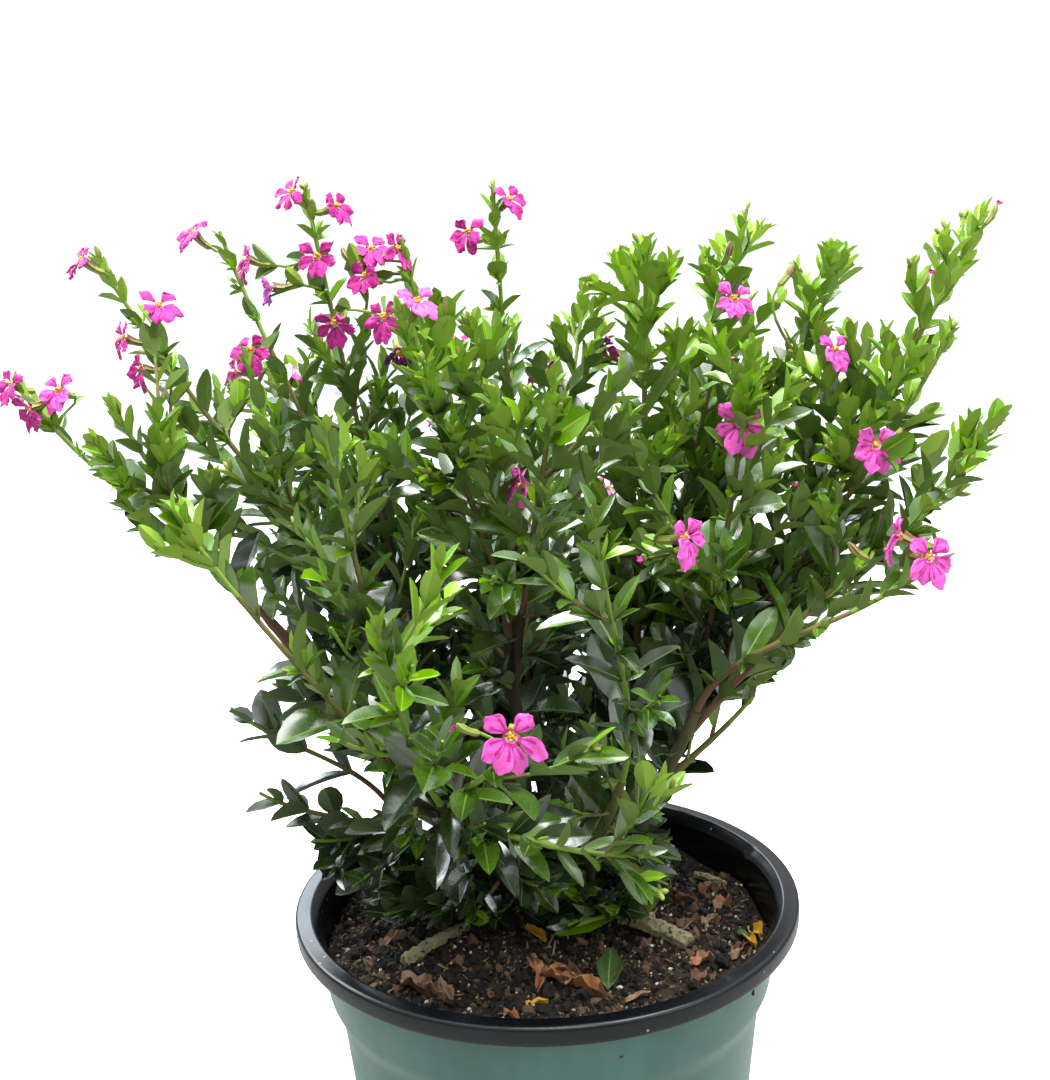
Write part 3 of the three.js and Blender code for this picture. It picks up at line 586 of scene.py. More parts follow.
# Litter on the soil: bits of lichen-grown stick, curled dry leaves, papery scraps, and a green and a few
# yellow leaves that fell from the plant. All of it lies loose on the soil.
class Heap:
    """Shapes in millimetres that are joined into one piece"""

    def __init__(self):
        self.corners = []
        self.triangles = []
        self.slots = []
        self.count = 0

    def add(self, corners, triangles, slots=0):
        self.corners.append(corners)
        self.triangles.append(triangles + self.count)
        self.slots.append(np.broadcast_to(slots, len(triangles)))
        self.count += len(corners)

    def piece(self, name, finishes, sharp=50):
        joined = [np.concatenate(lists) for lists in (self.corners, self.triangles, self.slots)]
        return mesh_piece(name, *joined, finishes, sharp)


def unit(vectors):
    return vectors / np.linalg.norm(vectors, axis=-1, keepdims=True)


def tube(line, radii, sides):
    """A closed round tube along a line of points, with a radius for each point or for each side of it"""
    line = np.asarray(line, float)
    along = unit(np.gradient(line, axis=0))
    wanted = np.cross(line[-1] - line[0], (0, 0, 1.0))
    if np.linalg.norm(wanted) < 0.01:
        wanted = np.array((1.0, 0, 0))
    across = unit(wanted - (along @ wanted)[:, None] * along)
    over = np.cross(along, across)
    turn = turns(sides)
    radii = np.broadcast_to(np.asarray(radii, float).reshape(len(line), -1), (len(line), sides))[..., None]
    sideways = across[:, None] * np.cos(turn)[:, None] + over[:, None] * np.sin(turn)[:, None]
    rings = line[:, None] + sideways * radii
    return np.concatenate([rings.reshape(-1, 3), line[:1], line[-1:]]), capped(len(line), sides)


def sheet_of(grid, thickness):
    """A thin closed sheet whose top is a grid of points, rows by columns"""
    rows, columns = grid.shape[:2]
    down_rows = np.gradient(grid, axis=0)
    down_columns = np.gradient(grid, axis=1)
    normal = unit(np.cross(down_columns, down_rows))
    corners = np.concatenate([grid.reshape(-1, 3), (grid - normal * thickness).reshape(-1, 3)])
    row, column = np.meshgrid(np.arange(rows - 1), np.arange(columns - 1), indexing="ij")
    a = (row * columns + column).ravel()
    b, c, d = a + 1, a + columns + 1, a + columns
    top = np.concatenate([np.stack([a, b, c], -1), np.stack([a, c, d], -1)])
    under = top[:, ::-1] + rows * columns
    first = np.arange(columns - 1)
    side = np.arange(rows - 1) * columns
    last = (rows - 1) * columns + first
    edge = np.concatenate([np.stack([first + 1, first], -1), np.stack([last, last + 1], -1),
                           np.stack([side, side + columns], -1),
                           np.stack([side + 2 * columns - 1, side + columns - 1], -1)])
    p, q = edge[:, 0], edge[:, 1]
    low = rows * columns
    walls = np.concatenate([np.stack([p, q, q + low], -1), np.stack([p, q + low, p + low], -1)])
    return corners, np.concatenate([top, under, walls])


def lying(x, y, above=0.8):
    """A place on the soil, or a little above it"""
    return np.array([x, y, float(soil_height(x, y)) + above])


sticks = [((22.5, -2.4), (40.8, -19.2), 2.5), ((-42.2, -21.5), (-24.1, -3.7), 1.7), ((49, 31), (57, 19), 1.2)]
stick_rings = 40
stick_sides = 24
stick_wood = Heap()
for (from_x, from_y), (to_x, to_y), stick_radius in sticks:
    share = np.linspace(0, 1, stick_rings)[:, None]
    line = lying(from_x, from_y, stick_radius) * (1 - share) + lying(to_x, to_y, stick_radius) * share
    line[:, 2] += 0.5 * np.sin(share[:, 0] * math.pi)
    turn = turns(stick_sides)
    bumpy = 1 + 0.08 * np.sin(3 * turn + 5 * share) + 0.09 * np.sin(7 * turn - 3 * share)
    pits = [[noise.noise(Vector((2.2 * math.cos(a), 2.2 * math.sin(a), 26 * s))) for a in turn]
            for s in share[:, 0]]
    bumpy = bumpy + 0.34 * np.array(pits)
    bumpy[[0, -1]] *= 0.8
    corners, triangles = tube(line, stick_radius * bumpy, stick_sides)
    ends = np.zeros(len(triangles), int)
    ends[-2 * stick_sides:] = 1
    stick_wood.add(corners, triangles, ends)

lichen_bark, tree, shader = finish_of("lichen_bark", (120, 116, 84), 0.9, 0.25)
uneven = add_group(tree, grain, {"Scale": 260})
pitted = add_group(tree, grain, {"Scale": 520})
painted(tree, shader, uneven.outputs["Broad"], (84, 78, 52), (184, 178, 138),
        (scaled(tree, pitted.outputs["Broad"], 0, 1, 0.56, 0.64), (48, 42, 30)))
bump_by(tree, shader, pitted.outputs["Height"], 1.0, 0.6)
cut_wood = grained_finish("cut_wood", (128, 108, 76), 0.85)
stick_piece = stick_wood.piece("soil_sticks", [lichen_bark, cut_wood], 60)
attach(stick_piece, "root")

DRY_ORANGE, DRY_BROWN, PAPERY, YELLOW_LEAF, GREEN_LEAF, PALE_RIB = range(6)
litter = Heap()
litter_thickness = 0.25


def fallen_leaf(root, tip, width, curl, wave, slots, rise=1.2, crumple=0.0):
    """A leaf or a scrap of one that lies on the soil, curled along its length and across it, or crumpled"""
    root, tip = lying(*root, rise), lying(*tip, rise)
    along = unit(tip - root)
    length = np.linalg.norm(tip - root)
    across = unit(np.cross((0, 0, 1.0), along))
    t = np.linspace(0, 1, 15)[:, None]
    s = np.array([-1, -0.75, -0.5, -0.25, -0.06, 0.06, 0.25, 0.5, 0.75, 1])[None, :]
    half = width / 2 * np.sin(math.pi * np.clip(0.06 + 0.92 * t, 0, 1) ** 1.2) ** 0.85
    ragged = 1 + crumple * 0.2 * np.sin(23 * t + 3 * s) * np.abs(s)
    rise_at = wave * np.sin(5 * t + 2 * s) + wave * 0.6 * np.sin(11 * t * s + 1)
    rise_at = rise_at + curl * s * s * half - 0.25 * np.abs(1 - s * s)
    aside = s * half * ragged * (1 - 0.25 * abs(curl))
    grid = root + along * (t * length)[..., None] + across * aside[..., None]
    grid = grid + np.array((0, 0, 1.0)) * rise_at[..., None]
    creased = [[noise.noise(Vector(place) / 2.1) + 0.6 * noise.noise(Vector(place) / 0.9) for place in row]
               for row in grid]
    grid[..., 2] += crumple * np.array(creased)
    corners, triangles = sheet_of(grid[:, ::-1], litter_thickness)
    row = corners[triangles].mean(axis=1)
    share = np.clip((row - root) @ along / length, 0, 0.999)
    dealt = np.array(slots)[(share * len(slots)).astype(int)]
    beside = np.abs((row - root) @ across)
    on_rib = (dealt == GREEN_LEAF) & (beside < 0.04 * width)
    litter.add(corners, triangles, np.where(on_rib, PALE_RIB, dealt))


fallen_leaf((17.7, -21.5), (15.5, -41.5), 7.4, 0.3, 0.35, [GREEN_LEAF] * 9 + [PALE_RIB], 2.6)
fallen_leaf((-6.5, -7), (-1, -15.5), 4.4, 0.4, 0.3, [YELLOW_LEAF], 2.6, 0.3)
dry_patches = [DRY_ORANGE, DRY_BROWN, DRY_ORANGE, DRY_ORANGE, DRY_BROWN]
# Scraps of dry leaves: root, tip, width, curl, wave and colours
dry_scraps = [
    ((-5.5, -23), (-3, -33), 5, 0.9, 0.8, dry_patches),
    ((-5, -31), (6, -36), 8, 0.8, 1.1, dry_patches),
    ((3, -35), (14.5, -43.8), 8, 1.0, 1.1, dry_patches),
    ((1, -28), (9, -38), 5, 1.1, 0.8, [DRY_BROWN]),
    ((-1, -29), (-4, -41), 3, 1.2, 0.6, [DRY_ORANGE]),
    ((-42, -30), (-33, -38), 8, 0.9, 1.0, [PAPERY, DRY_BROWN]),
    ((-36, -35), (-29, -40), 6, 1.1, 1.0, [DRY_BROWN, PAPERY]),
    ((-31, -33), (-27, -42), 4, 1.0, 0.8, [PAPERY]),
    ((-50, -11), (-43, -5), 5, 0.8, 0.8, [PAPERY]),
    ((-13, -49), (-9, -51.5), 3, 0.7, 0.5, [DRY_ORANGE]),
    ((40, -28), (47, -24), 5, 0.9, 0.9, [DRY_ORANGE, PAPERY]),
    ((44, -31), (39, -37), 4, 0.9, 0.8, [DRY_BROWN]),
    ((51, 3), (57, 8), 6, 1.0, 1.0, [PAPERY, DRY_ORANGE]),
    ((40, 10), (47, 6), 5, 0.9, 0.9, [DRY_BROWN]),
    ((48, 14), (55, 17), 6, 1.0, 1.0, [DRY_BROWN, PAPERY]),
    ((46, -6), (52, -3), 4, 0.9, 0.8, [PAPERY]),
    ((52, -24), (57, -18), 4, 0.8, 0.7, [PAPERY, DRY_BROWN]),
    ((30, 40), (37, 36), 6, 0.8, 0.9, [PAPERY]),
    ((-20, 46), (-30, 42), 7, 0.8, 0.9, [DRY_ORANGE, DRY_BROWN]),
    ((-48, 20), (-54, 12), 6, 0.9, 0.9, [DRY_BROWN]),
]
for root, tip, width, curl, wave, slots in dry_scraps:
    fallen_leaf(root, tip, width, curl, wave, slots, 1.4, 1.0)
fallen_leaf((62, -16), (60, -9), 5, 0.9, 0.8, [YELLOW_LEAF], 1.6, 0.6)
fallen_leaf((56, -12), (60, -19), 4, 0.7, 0.6, [GREEN_LEAF, YELLOW_LEAF], 1.6, 0.6)
fallen_leaf((20, -45), (27, -41.5), 2.2, 0.5, 0.3, [PAPERY], 1.4, 0.4)
fallen_leaf((-7, -45.5), (-1, -44.5), 2.2, 0.6, 0.3, [YELLOW_LEAF], 1.3, 0.4)
fallen_leaf((4, 52), (12, 49), 4.5, 0.5, 0.5, [YELLOW_LEAF], 1.4, 0.4)

dry_finishes = [
    grained_finish("dry_orange_leaf", (170, 116, 74), 0.7, 500, 0.9, 0.5),
    grained_finish("dry_brown_leaf", (108, 76, 54), 0.75, 500, 0.9, 0.5),
    grained_finish("papery_brown_scrap", (142, 116, 88), 0.8, 500, 0.9, 0.5),
    grained_finish("yellow_leaf", (206, 158, 44), 0.5, 500),
    grained_finish("fallen_green_leaf", (58, 84, 40), 0.4, 500),
    grained_finish("fallen_leaf_rib", (112, 130, 76), 0.5, 500),
]
litter_piece = litter.piece("soil_litter", dry_finishes)
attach(litter_piece, "root")


# Stems and boughs: a dozen thin woody stems rise from the soil and lean outwards, and bare boughs leave some
# of them. Their bark is red-brown, finely ridged, with the low collars of old leaf scars.
up = Vector((0, 0, 1))
clearance = 0.35
foot_flare = 0.3  # share of its radius that a stem gains at the soil
flare_fade = 4
stem_taper = 0.35
fork_spread = 0.1
shoot_radius_share = 0.8
shoot_turn = 0.6
shoot_rise = 0.25
bough_tip_radius = 1.1
bark_sides = 14
bark_step = 1.3
scar_spacing = 9.0
scar_width = 0.8
foot_depth = 1.5  # how far a stem's foot is set into the soil

# Each stem rises from its foot on the soil to its fork, with its radius
stems = {
    "left": ((-26, 4), (-58, 4, 198), 2.3),
    "left_front": ((-20, 1), (-36, -42, 190), 1.9),
    "left_low": ((-29, 13), (-47, 12, 163), 1.8),
    "front_left": ((-11, -3), (-27, -47, 188), 1.9),
    "front": ((12, -1), (21, -36, 188), 1.8),
    "centre": ((-4, 2), (-8, -14, 222), 2.4),
    "right": ((24, 6), (58, 6, 212), 2.4),
    "right_front": ((22, -2), (43, -22, 202), 2.2),
    "back_left": ((-15, 17), (-38, 27, 206), 2.4),
    "back": ((1, 18), (-2, 36, 202), 2.2),
    "back_right": ((15, 18), (34, 26, 206), 2.4),
    "back_low": ((5, 29), (16, 56, 164), 1.9),
}

# Each shoot leaves its stem at a share of the stem's length and ends at its tip. The first share of it is
# bare. Then come how often it carries side sprays and how young its leaves look, both by the photograph.
shoots = {
    "left_reach": ("left", 1, (-143, 0, 298), 0, 0.3, 0.0),
    "left_mid": ("left", 0.68, (-111, -16, 291), 0.35, 0.4, 0.1),
    "left_inner": ("left", 0.52, (-74, -20, 303), 0.25, 0.52, 0.1),
    "left_under": ("left", 0.36, (-88, 50, 234), 0, 0.28, -0.2),
    "left_low": ("left_low", 1, (-94, 14, 196), 0, 0.08, -0.4),
    "left_lowest": ("left_low", 0.6, (-82, -10, 178), 0, 0.3, -0.35),
    "left_front": ("left_front", 1, (-82, -72, 272), 0, 0.24, 0.28),
    "left_front_inner": ("left_front", 0.7, (-50, -52, 288), 0, 0.34, 0.05),
    "front_left": ("front_left", 1, (-36, -90, 249), 0, 0.22, 0.25),
    "front_bloom": ("front_left", 0.9, (-6, -96, 224), 0, 0.15, 0.12),
    "front_low": ("front_left", 0.74, (24, -84, 190), 0, 0.15, 0.3),
    "front": ("front", 1, (12, -94, 274), 0, 0.12, 0.02),
    "centre_left": ("centre", 1, (-31, -42, 314), 0, 0.55, 0.15),
    "centre": ("centre", 0.8, (6, -50, 298), 0.3, 0.5, 0.1),
    "right_high": ("right", 1, (128, 6, 334), 0, 0.5, 0.35),
    "right_mid": ("right", 0.8, (114, -12, 303), 0.25, 0.6, 0.25),
    "right_inner": ("right", 0.58, (58, -28, 300), 0.25, 0.6, 0.2),
    "right_front": ("right_front", 0.85, (127, -16, 281), 0, 0.5, 0.25),
    "right_low": ("right_front", 1, (97, -44, 245), 0, 0.4, 0.05),
    "right_lowest": ("right_front", 0.6, (60, -14, 203), 0, 0.45, -0.15),
    "back_left_reach": ("back_left", 0.75, (-122, 20, 330), 0.25, 0.3, 0.1),
    "back_left_high": ("back_left", 1, (-92, 44, 338), 0, 0.5, 0.1),
    "back_left_top": ("back_left", 0.8, (-62, 24, 348), 0.2, 0.7, 0.1),
    "back_left_rear": ("back_left", 0.5, (-88, 84, 292), 0.2, 0.85, 0.05),
    "top_left": ("back", 0.72, (-34, 10, 333), 0, 0.65, 0.15),
    "top": ("back", 1, (-8, 22, 346), 0, 0.6, 0.2),
    "back_reach": ("back", 0.6, (-26, 112, 298), 0.2, 0.95, 0.05),
    "back_top": ("back", 0.86, (20, 72, 316), 0, 0.8, 0.1),
    "top_right": ("back_right", 0.72, (34, 2, 331), 0, 0.5, 0.35),
    "back_right_top": ("back_right", 1, (66, 28, 338), 0, 0.5, 0.35),
    "back_right_reach": ("back_right", 0.62, (98, 40, 326), 0.25, 0.5, 0.3),
    "back_right_rear": ("back_right", 0.46, (72, 92, 292), 0.2, 0.7, 0.05),
    "back_low": ("back_low", 1, (34, 112, 240), 0, 0.8, 0.0),
    "back_low_right": ("back_low", 0.6, (92, 56, 214), 0, 0.6, -0.15),
    "back_low_left": ("back_low", 0.8, (-40, 96, 208), 0, 0.8, -0.1),
}


class Limb:
    """A line that leaves a place along one heading and reaches another along a second, or a stretch of it"""

    def __init__(self, handles, first=0.0, last=1.0):
        self.handles = handles
        self.first = first
        self.last = last

    @classmethod
    def between(cls, start, leave, end, arrive):
        reach = (end - start).length / 3
        return cls((start, start + leave * reach, end - arrive * reach, end))

    def stretch(self, first, last):
        return Limb(self.handles, first, last)

    def at(self, share):
        s = self.first + share * (self.last - self.first)
        a, b, c, d = self.handles
        return a * (1 - s) ** 3 + b * (3 * s * (1 - s) ** 2) + c * (3 * s * s * (1 - s)) + d * s ** 3

    def along(self, share):
        s = self.first + share * (self.last - self.first)
        a, b, c, d = self.handles
        return ((b - a) * (1 - s) ** 2 + (c - b) * (2 * s * (1 - s)) + (d - c) * s * s).normalized()

    def places(self, count):
        return [self.at(i / (count - 1)) for i in range(count)]

    def length(self):
        places = self.places(25)
        return sum((q - p).length for p, q in zip(places, places[1:]))


def stem_limb(foot, fork):
    start = Vector((*foot, float(soil_height(*foot)) + clearance))
    end = Vector(fork)
    arrive = ((end - start).normalized() - up * fork_spread).normalized()
    return Limb.between(start, up, end, arrive)


def barked(limb, radius_at, seed, sunk=0.0):
    """A limb with ridged bark and a low collar at each old leaf scar"""
    length = limb.length()
    count = max(8, round(length / bark_step))
    line = np.array(limb.places(count))
    share = np.linspace(0, 1, count)[:, None]
    line[0, 2] -= sunk
    turn = turns(bark_sides)[None, :]
    along = share * length
    ridges = 0.05 * np.sin(5 * turn + 2.2 * np.sin(along / 9 + seed) + seed)
    ridges = ridges + 0.035 * np.sin(9 * turn - along / 5 + 2 * seed) + 0.025 * np.sin(3 * turn + along / 2.3)
    scar = np.round(along / scar_spacing)
    near_scar = np.exp(-((along - scar * scar_spacing) / scar_width) ** 2)
    collars = near_scar * (0.1 + 0.12 * np.cos(turn - scar * math.pi / 2 + seed) ** 2)
    radii = np.array([radius_at(s) for s in share[:, 0]])[:, None] * (1 + ridges + collars)
    return tube(line, radii, bark_sides)


def bark_finish(name, dark, light, moss):
    """Streaked bark, with painted shade that makes it near black where it rises from the soil"""
    material, tree, shader = finish_of(name, light, 0.75, 0.4)
    streaks = add_group(tree, grain, {"Scale": 420, "Squash": 0.22})
    blotches = add_group(tree, grain, {"Scale": 90, "Squash": 0.6})
    place = add_node(tree, "TexCoord")
    parts = add_node(tree, "SeparateXYZ", {}, {"Vector": place.outputs["Object"]})
    # The last coat is painted shade: from 175 mm down to 135 mm in height the bark turns near black, low
    # under the crown
    painted(tree, shader, streaks.outputs["Broad"], dark, light,
            (scaled(tree, blotches.outputs["Broad"], 0, 0.5), moss),
            (scaled(tree, parts.outputs["Z"], 0, 0.8, 0.175, 0.135), (18, 14, 12)))
    tree.links.new(scaled(tree, streaks.outputs["Fine"], 0.55, 0.95), shader.inputs["Roughness"])
    bump_by(tree, shader, streaks.outputs["Height"], 0.9, 0.35)
    return material


red_bark = bark_finish("red_brown_bark", (27, 20, 17), (72, 53, 42), (66, 66, 40))
green_bark = bark_finish("green_bark", (70, 78, 32), (120, 126, 58), (98, 84, 52))
olive_bark = bark_finish("olive_bark", (50, 38, 30), (100, 92, 54), (86, 92, 48))
stem_barks = {"front": green_bark, "right": olive_bark, "right_front": olive_bark}

grown_stems = {}
stem_radii = {}
for index, (name, (foot, fork, radius)) in enumerate(stems.items()):
    limb = stem_limb(foot, fork)
    height = limb.length()

    def stem_radius(share, radius=radius, height=height):
        flare = 1 + foot_flare * math.exp(-share * height / flare_fade)
        return radius * (1 - stem_taper * share) * flare

    grown_stems[name] = limb
    stem_radii[name] = stem_radius
    wood = barked(limb, stem_radius, index, foot_depth)
    piece = mesh_piece("stem_wood_" + name, *wood, 0, [stem_barks.get(name, red_bark)], 60)
    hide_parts("stem_" + name)
    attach(piece, "root")


def shoot_limb(stem, at, tip):
    """A shoot's whole line from its stem to its tip"""
    limb = grown_stems[stem]
    along = limb.along(at)
    start = limb.at(at) + (along * clearance if at == 1 else Vector())
    end = Vector(tip)
    chord = (end - start).normalized()
    leave = along if at == 1 else along.lerp(chord, shoot_turn).normalized()
    return Limb.between(start, leave, end, (chord + up * shoot_rise).normalized())


leafy_limbs = {}
leafy_radii = {}
bough_limbs = {}
for index, (name, (stem, at, tip, bare, bushy, youth)) in enumerate(shoots.items()):
    limb = shoot_limb(stem, at, tip)
    start_radius = shoot_radius_share * stem_radii[stem](at)
    leafy_limbs[name] = limb.stretch(bare, 1)
    leafy_radii[name] = bough_tip_radius if bare else start_radius
    if bare:

        def bough_radius(share, start_radius=start_radius):
            return start_radius + (bough_tip_radius - start_radius) * share

        bough_limbs[name] = (limb.stretch(0, bare), bough_radius)
        wood = barked(limb.stretch(0, bare), bough_radius, index + 20)
        piece = mesh_piece("bough_wood_" + name, *wood, 0, [red_bark], 60)
        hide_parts("bough_" + name)
        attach(piece, "root")


# Leafy shoots: each grows on from its stem or bough as a thin green-tipped twig. Crossed pairs of leaves sit
# on it, with side sprays or tufts of tiny leaves in their axils, wherever no other shoot is nearer.
shoot_tip_radius = 0.55
pair_spacing = 11.5  # along a shoot, from one pair of leaves to the next, well below its tip
spray_pair_spacing = 8.0
closest_pairs = 2.7  # and at the tip
closing_share = 0.36  # spacing by the distance that is left to the tip
# Lengths and angles of the leaves by the distance that is left to the tip
shoot_leaf_lengths = ((0, 8, 25, 60, 120), (5.8, 8.8, 12.3, 16, 20))
spray_leaf_lengths = ((0, 6, 20, 45), (5.4, 8.4, 11.4, 14.5))
leaf_angles = ((0, 12, 40, 100), (20, 32, 42, 54))
airy_growth = 0.76  # size of the leaves on shoots that stand apart
old_growth = 0.45  # how much longer the leaves and their spacing are at the crown's foot
old_leaf_growth = 0.12  # the same for the leaves on the shoots themselves
old_tip_spacing = 1.1  # and how much wider their spacing is at the tips there
young_height = 300  # from this height up, none of the three applies
old_fade = 120  # and this far below it, all of them do in full
aged_spacing = 1.6  # the wider spacing of shoots with a youth below 0
aged_leaf_growth = 0.6  # and their longer leaves
foot_age = 0.2  # a leaf's age at the crown's foot, where 0 is the oldest and 3 the youngest
# The crown's height makes the low leaves darker and the top ones lighter: partly their real age, partly
# painted shade and painted light
height_youth_and_light = 1.5  # what the crown's height adds to it
oldest_height = 150
crown_depth = 190
tip_fade = 22  # how far down from a shoot's tip its leaves look younger
shoot_youth = (1.4, 0.6)  # weight of a shoot's own youth at its root, and what its tip adds
leaf_width_shares = (0.34, 0.37, 0.4, 0.41)  # of the length, from the oldest kind to the youngest
broad_leaf_share = 0.32  # what the broadest few add to it
leaf_face_forwards = 0.7
leaf_face_up = 0.45
leaf_face_spread = 0.7
leaf_size_spread = 0.35
leaf_angle_spread = 22
leaf_turn_spread = 0.5
spray_angle = 42
spray_angle_spread = 16
spray_reach = 40.0
spray_reach_taper = 0.6
spray_reach_spread = 0.7
spray_rise = 0.24
shortest_spray = 8.0
sprayless_tip = 12
tuft_share = 0.6  # of the axils without a spray
old_tuft_loss = 0.35
shoot_sides = 7
spray_sides = 5
spray_radius = 0.68
spray_tip_radius = 0.4
finer_sprays = 0.18  # share of the places along a spray that carry a finer one
mingle = 7.0  # how far a leaf may reach into the next shoot's space
limb_room = 0.6
pot_room = 1.5
open_radius = 64  # within it, leaves may hang lower than the rim
crown_reach = ((-147, 137), (-122, 126), (0, 353))
DARK, MID, FRESH, LIME = range(4)
# Young shoots from the crown's foot, with green twigs and long narrow leaves
slender_shoots = [list(shoots).index(name) for name in ("front", "front_bloom", "front_low", "front_left")]
slender_share = 0.8

places_on_shoot = 25
leafy_owner = KDTree(places_on_shoot * len(shoots))
own_lines = []
for index, limb in enumerate(leafy_limbs.values()):
    own_line = KDTree(places_on_shoot)
    for i, place in enumerate(limb.places(places_on_shoot)):
        leafy_owner.insert(place, index)
        own_line.insert(place, i)
    own_line.balance()
    own_lines.append(own_line)
leafy_owner.balance()
limb_lines = [(limb, stem_radii[name]) for name, limb in grown_stems.items()] + list(bough_limbs.values())
places_on_limb = 60
limb_tree = KDTree(places_on_limb * len(limb_lines))
limb_tree_radii = []
for limb, radius_at in limb_lines:
    for i, place in enumerate(limb.places(places_on_limb)):
        limb_tree.insert(place, len(limb_tree_radii))
        limb_tree_radii.append(radius_at(i / (places_on_limb - 1)))
limb_tree.balance()


# The crown's outline in the photograph, in its pixels, from the rim at the left round over the top
crown_outline = [
    (303, 868), (310, 835), (238, 812), (262, 778), (300, 766), (322, 782), (350, 806), (388, 810),
    (386, 788), (352, 756), (318, 744), (292, 752), (258, 764), (214, 724), (238, 672), (292, 660),
    (290, 628), (222, 570), (150, 560), (118, 536), (104, 486), (66, 436), (-20, 416), (-20, 350),
    (55, 370), (100, 405), (90, 345), (45, 275), (85, 235), (150, 280), (170, 225), (215, 215),
    (235, 280), (262, 180), (350, 185), (405, 240), (445, 290), (460, 180), (528, 182), (555, 250),
    (568, 320), (575, 265), (660, 225), (735, 205), (795, 225), (865, 245), (890, 290), (930, 235),
    (1000, 185), (1008, 230), (940, 300), (968, 325), (936, 370), (912, 390), (905, 424), (928, 402),
    (1018, 392), (998, 470), (925, 515), (965, 550), (950, 580), (850, 612), (757, 692), (692, 712),
    (692, 758), (735, 775), (665, 800), (685, 865), (650, 915), (540, 930), (470, 925), (400, 925),
    (345, 905),
]
picture_middle = (525, 540)
focal_pixels = 1300
into_camera = camera.matrix_world.inverted()


def in_picture(place):
    """A place's column and row in the photograph, in its pixels"""
    seen = into_camera @ (place * mm)
    u = picture_middle[0] - focal_pixels * seen.x / seen.z
    v = picture_middle[1] + focal_pixels * seen.y / seen.z
    return u, v


def in_outline(place):
    """Whether a place shows inside the crown's outline, counted by the outline's sides to its left"""
    u, v = in_picture(place)
    inside = False
    for (u1, v1), (u2, v2) in zip(crown_outline, crown_outline[1:] + crown_outline[:1]):
        if (v1 > v) != (v2 > v) and u > u1 + (v - v1) * (u2 - u1) / (v2 - v1):
            inside = not inside
    return inside


def random_stream(seed):
    """The same small repeatable generator for every shoot, from its own seed"""
    state = seed * 7919 + 17

    def draw():
        nonlocal state
        state = (state * 1664525 + 1013904223) % 2 ** 32
        return state / 2 ** 32

    return draw


def has_room(place, shoot):
    """Whether a place is over the pot, in the crown's reach, clear of limbs and in the shoot's own space"""
    r = math.hypot(place.x, place.y)
    floor = rim_top if r > open_radius else soil_top + soil_rise
    if r < rim_radius + pot_room and place.z < floor + pot_room:
        return False
    if any(value < low or value > high for value, (low, high) in zip(place, crown_reach)):
        return False
    if not in_outline(place):
        return False
    _, near, distance = limb_tree.find(place)
    if distance < limb_tree_radii[near] + limb_room:
        return False
    if shoot is None:
        return True
    _, owner, distance = leafy_owner.find(place)
    return owner == shoot or own_lines[shoot].find(place)[2] < distance + mingle


def side_heading(along, wanted, turn, angle):
    """The heading that leaves a twig at an angle, on the side that a turn round the twig gives"""
    across = (wanted - along * wanted.dot(along)).normalized()
    over = along.cross(across)
    side = across * math.cos(turn) + over * math.sin(turn)
    return along * math.cos(angle) + side * math.sin(angle)


grown_leaves = []  # root, heading, face, length, width share, droop, kind
grown_tips = []  # place, heading, kind
BROWN_TWIG, OLIVE_TWIG, GREEN_TWIG = range(3)
twigs = Heap()
twig_places = []  # place, heading and shoot, for the flowers


def add_twig(line, radii, sides, first_slot, last_slot):
    corners, triangles = tube(line, radii, sides)
    ring_slots = np.round(np.linspace(first_slot, last_slot, len(line) - 1)).astype(int)
    slots = np.concatenate([np.repeat(ring_slots, 2 * sides), np.full(sides, ring_slots[0]),
                            np.full(sides, ring_slots[-1])])
    twigs.add(corners, triangles, slots)


def add_leaf(shoot, place, along, heading, length, youth, random):
    """A leaf at the side of a twig, made smaller or skipped where it has no room"""
    for share in (1, 0.72, 0.5) if youth > 1 else (1, 0.8):
        size = length * share
        if all(has_room(place + heading * size * part, shoot) for part in (1, 0.6)):
            break
    else:
        return
    face = along * leaf_face_forwards + up * leaf_face_up
    face += Vector((random() - 0.5, random() - 0.5, random() - 0.5)) * leaf_face_spread
    kind = min(max(int(youth + 0.5 * (random() - 0.5)), DARK), LIME)
    width_share = leaf_width_shares[kind] + broad_leaf_share * random() ** 3
    width_share *= slender_share if shoot in slender_shoots else 1
    droop = 0.24 * random() - 0.04 if kind < FRESH else 0.2 * random() - 0.06
    grown_leaves.append((*place, *heading, *face, size, width_share, droop, kind))


def old_share(place):
    """1 for growth low in the crown and 0 for growth at its top"""
    return min(max((young_height - place.z) / old_fade, 0), 1)


def add_pair(shoot, place, along, wanted, turn, length, angle, youth, random):
    for side in (0, math.pi):
        size = length * (1 + leaf_size_spread * (random() - 0.5))
        lean = math.radians(angle + leaf_angle_spread * (random() - 0.5))
        heading = side_heading(along, wanted, turn + side + leaf_turn_spread * (random() - 0.5), lean)
        add_leaf(shoot, place, along, heading, size, youth, random)


def add_tuft(shoot, place, along, wanted, turn, length, youth, random):
    """A bud that has just opened in an axil: crossed pairs of tiny upright leaves"""
    add_pair(shoot, place, along, wanted, turn, length, 34, youth + 0.4, random)
    ahead = place + along * length * 0.2
    add_pair(shoot, ahead, along, wanted, turn + math.pi / 2, length * 0.75, 20, youth + 0.8, random)


def pair_places(length, first, widest, closest):
    """Distances of the pairs of leaves along a twig, closer and closer towards its tip"""
    places = [first]
    while length - places[-1] > closest:
        step = min(widest, max(closest, closing_share * (length - places[-1])))
        places.append(places[-1] + step)
    return [place for place in places if place <= length]


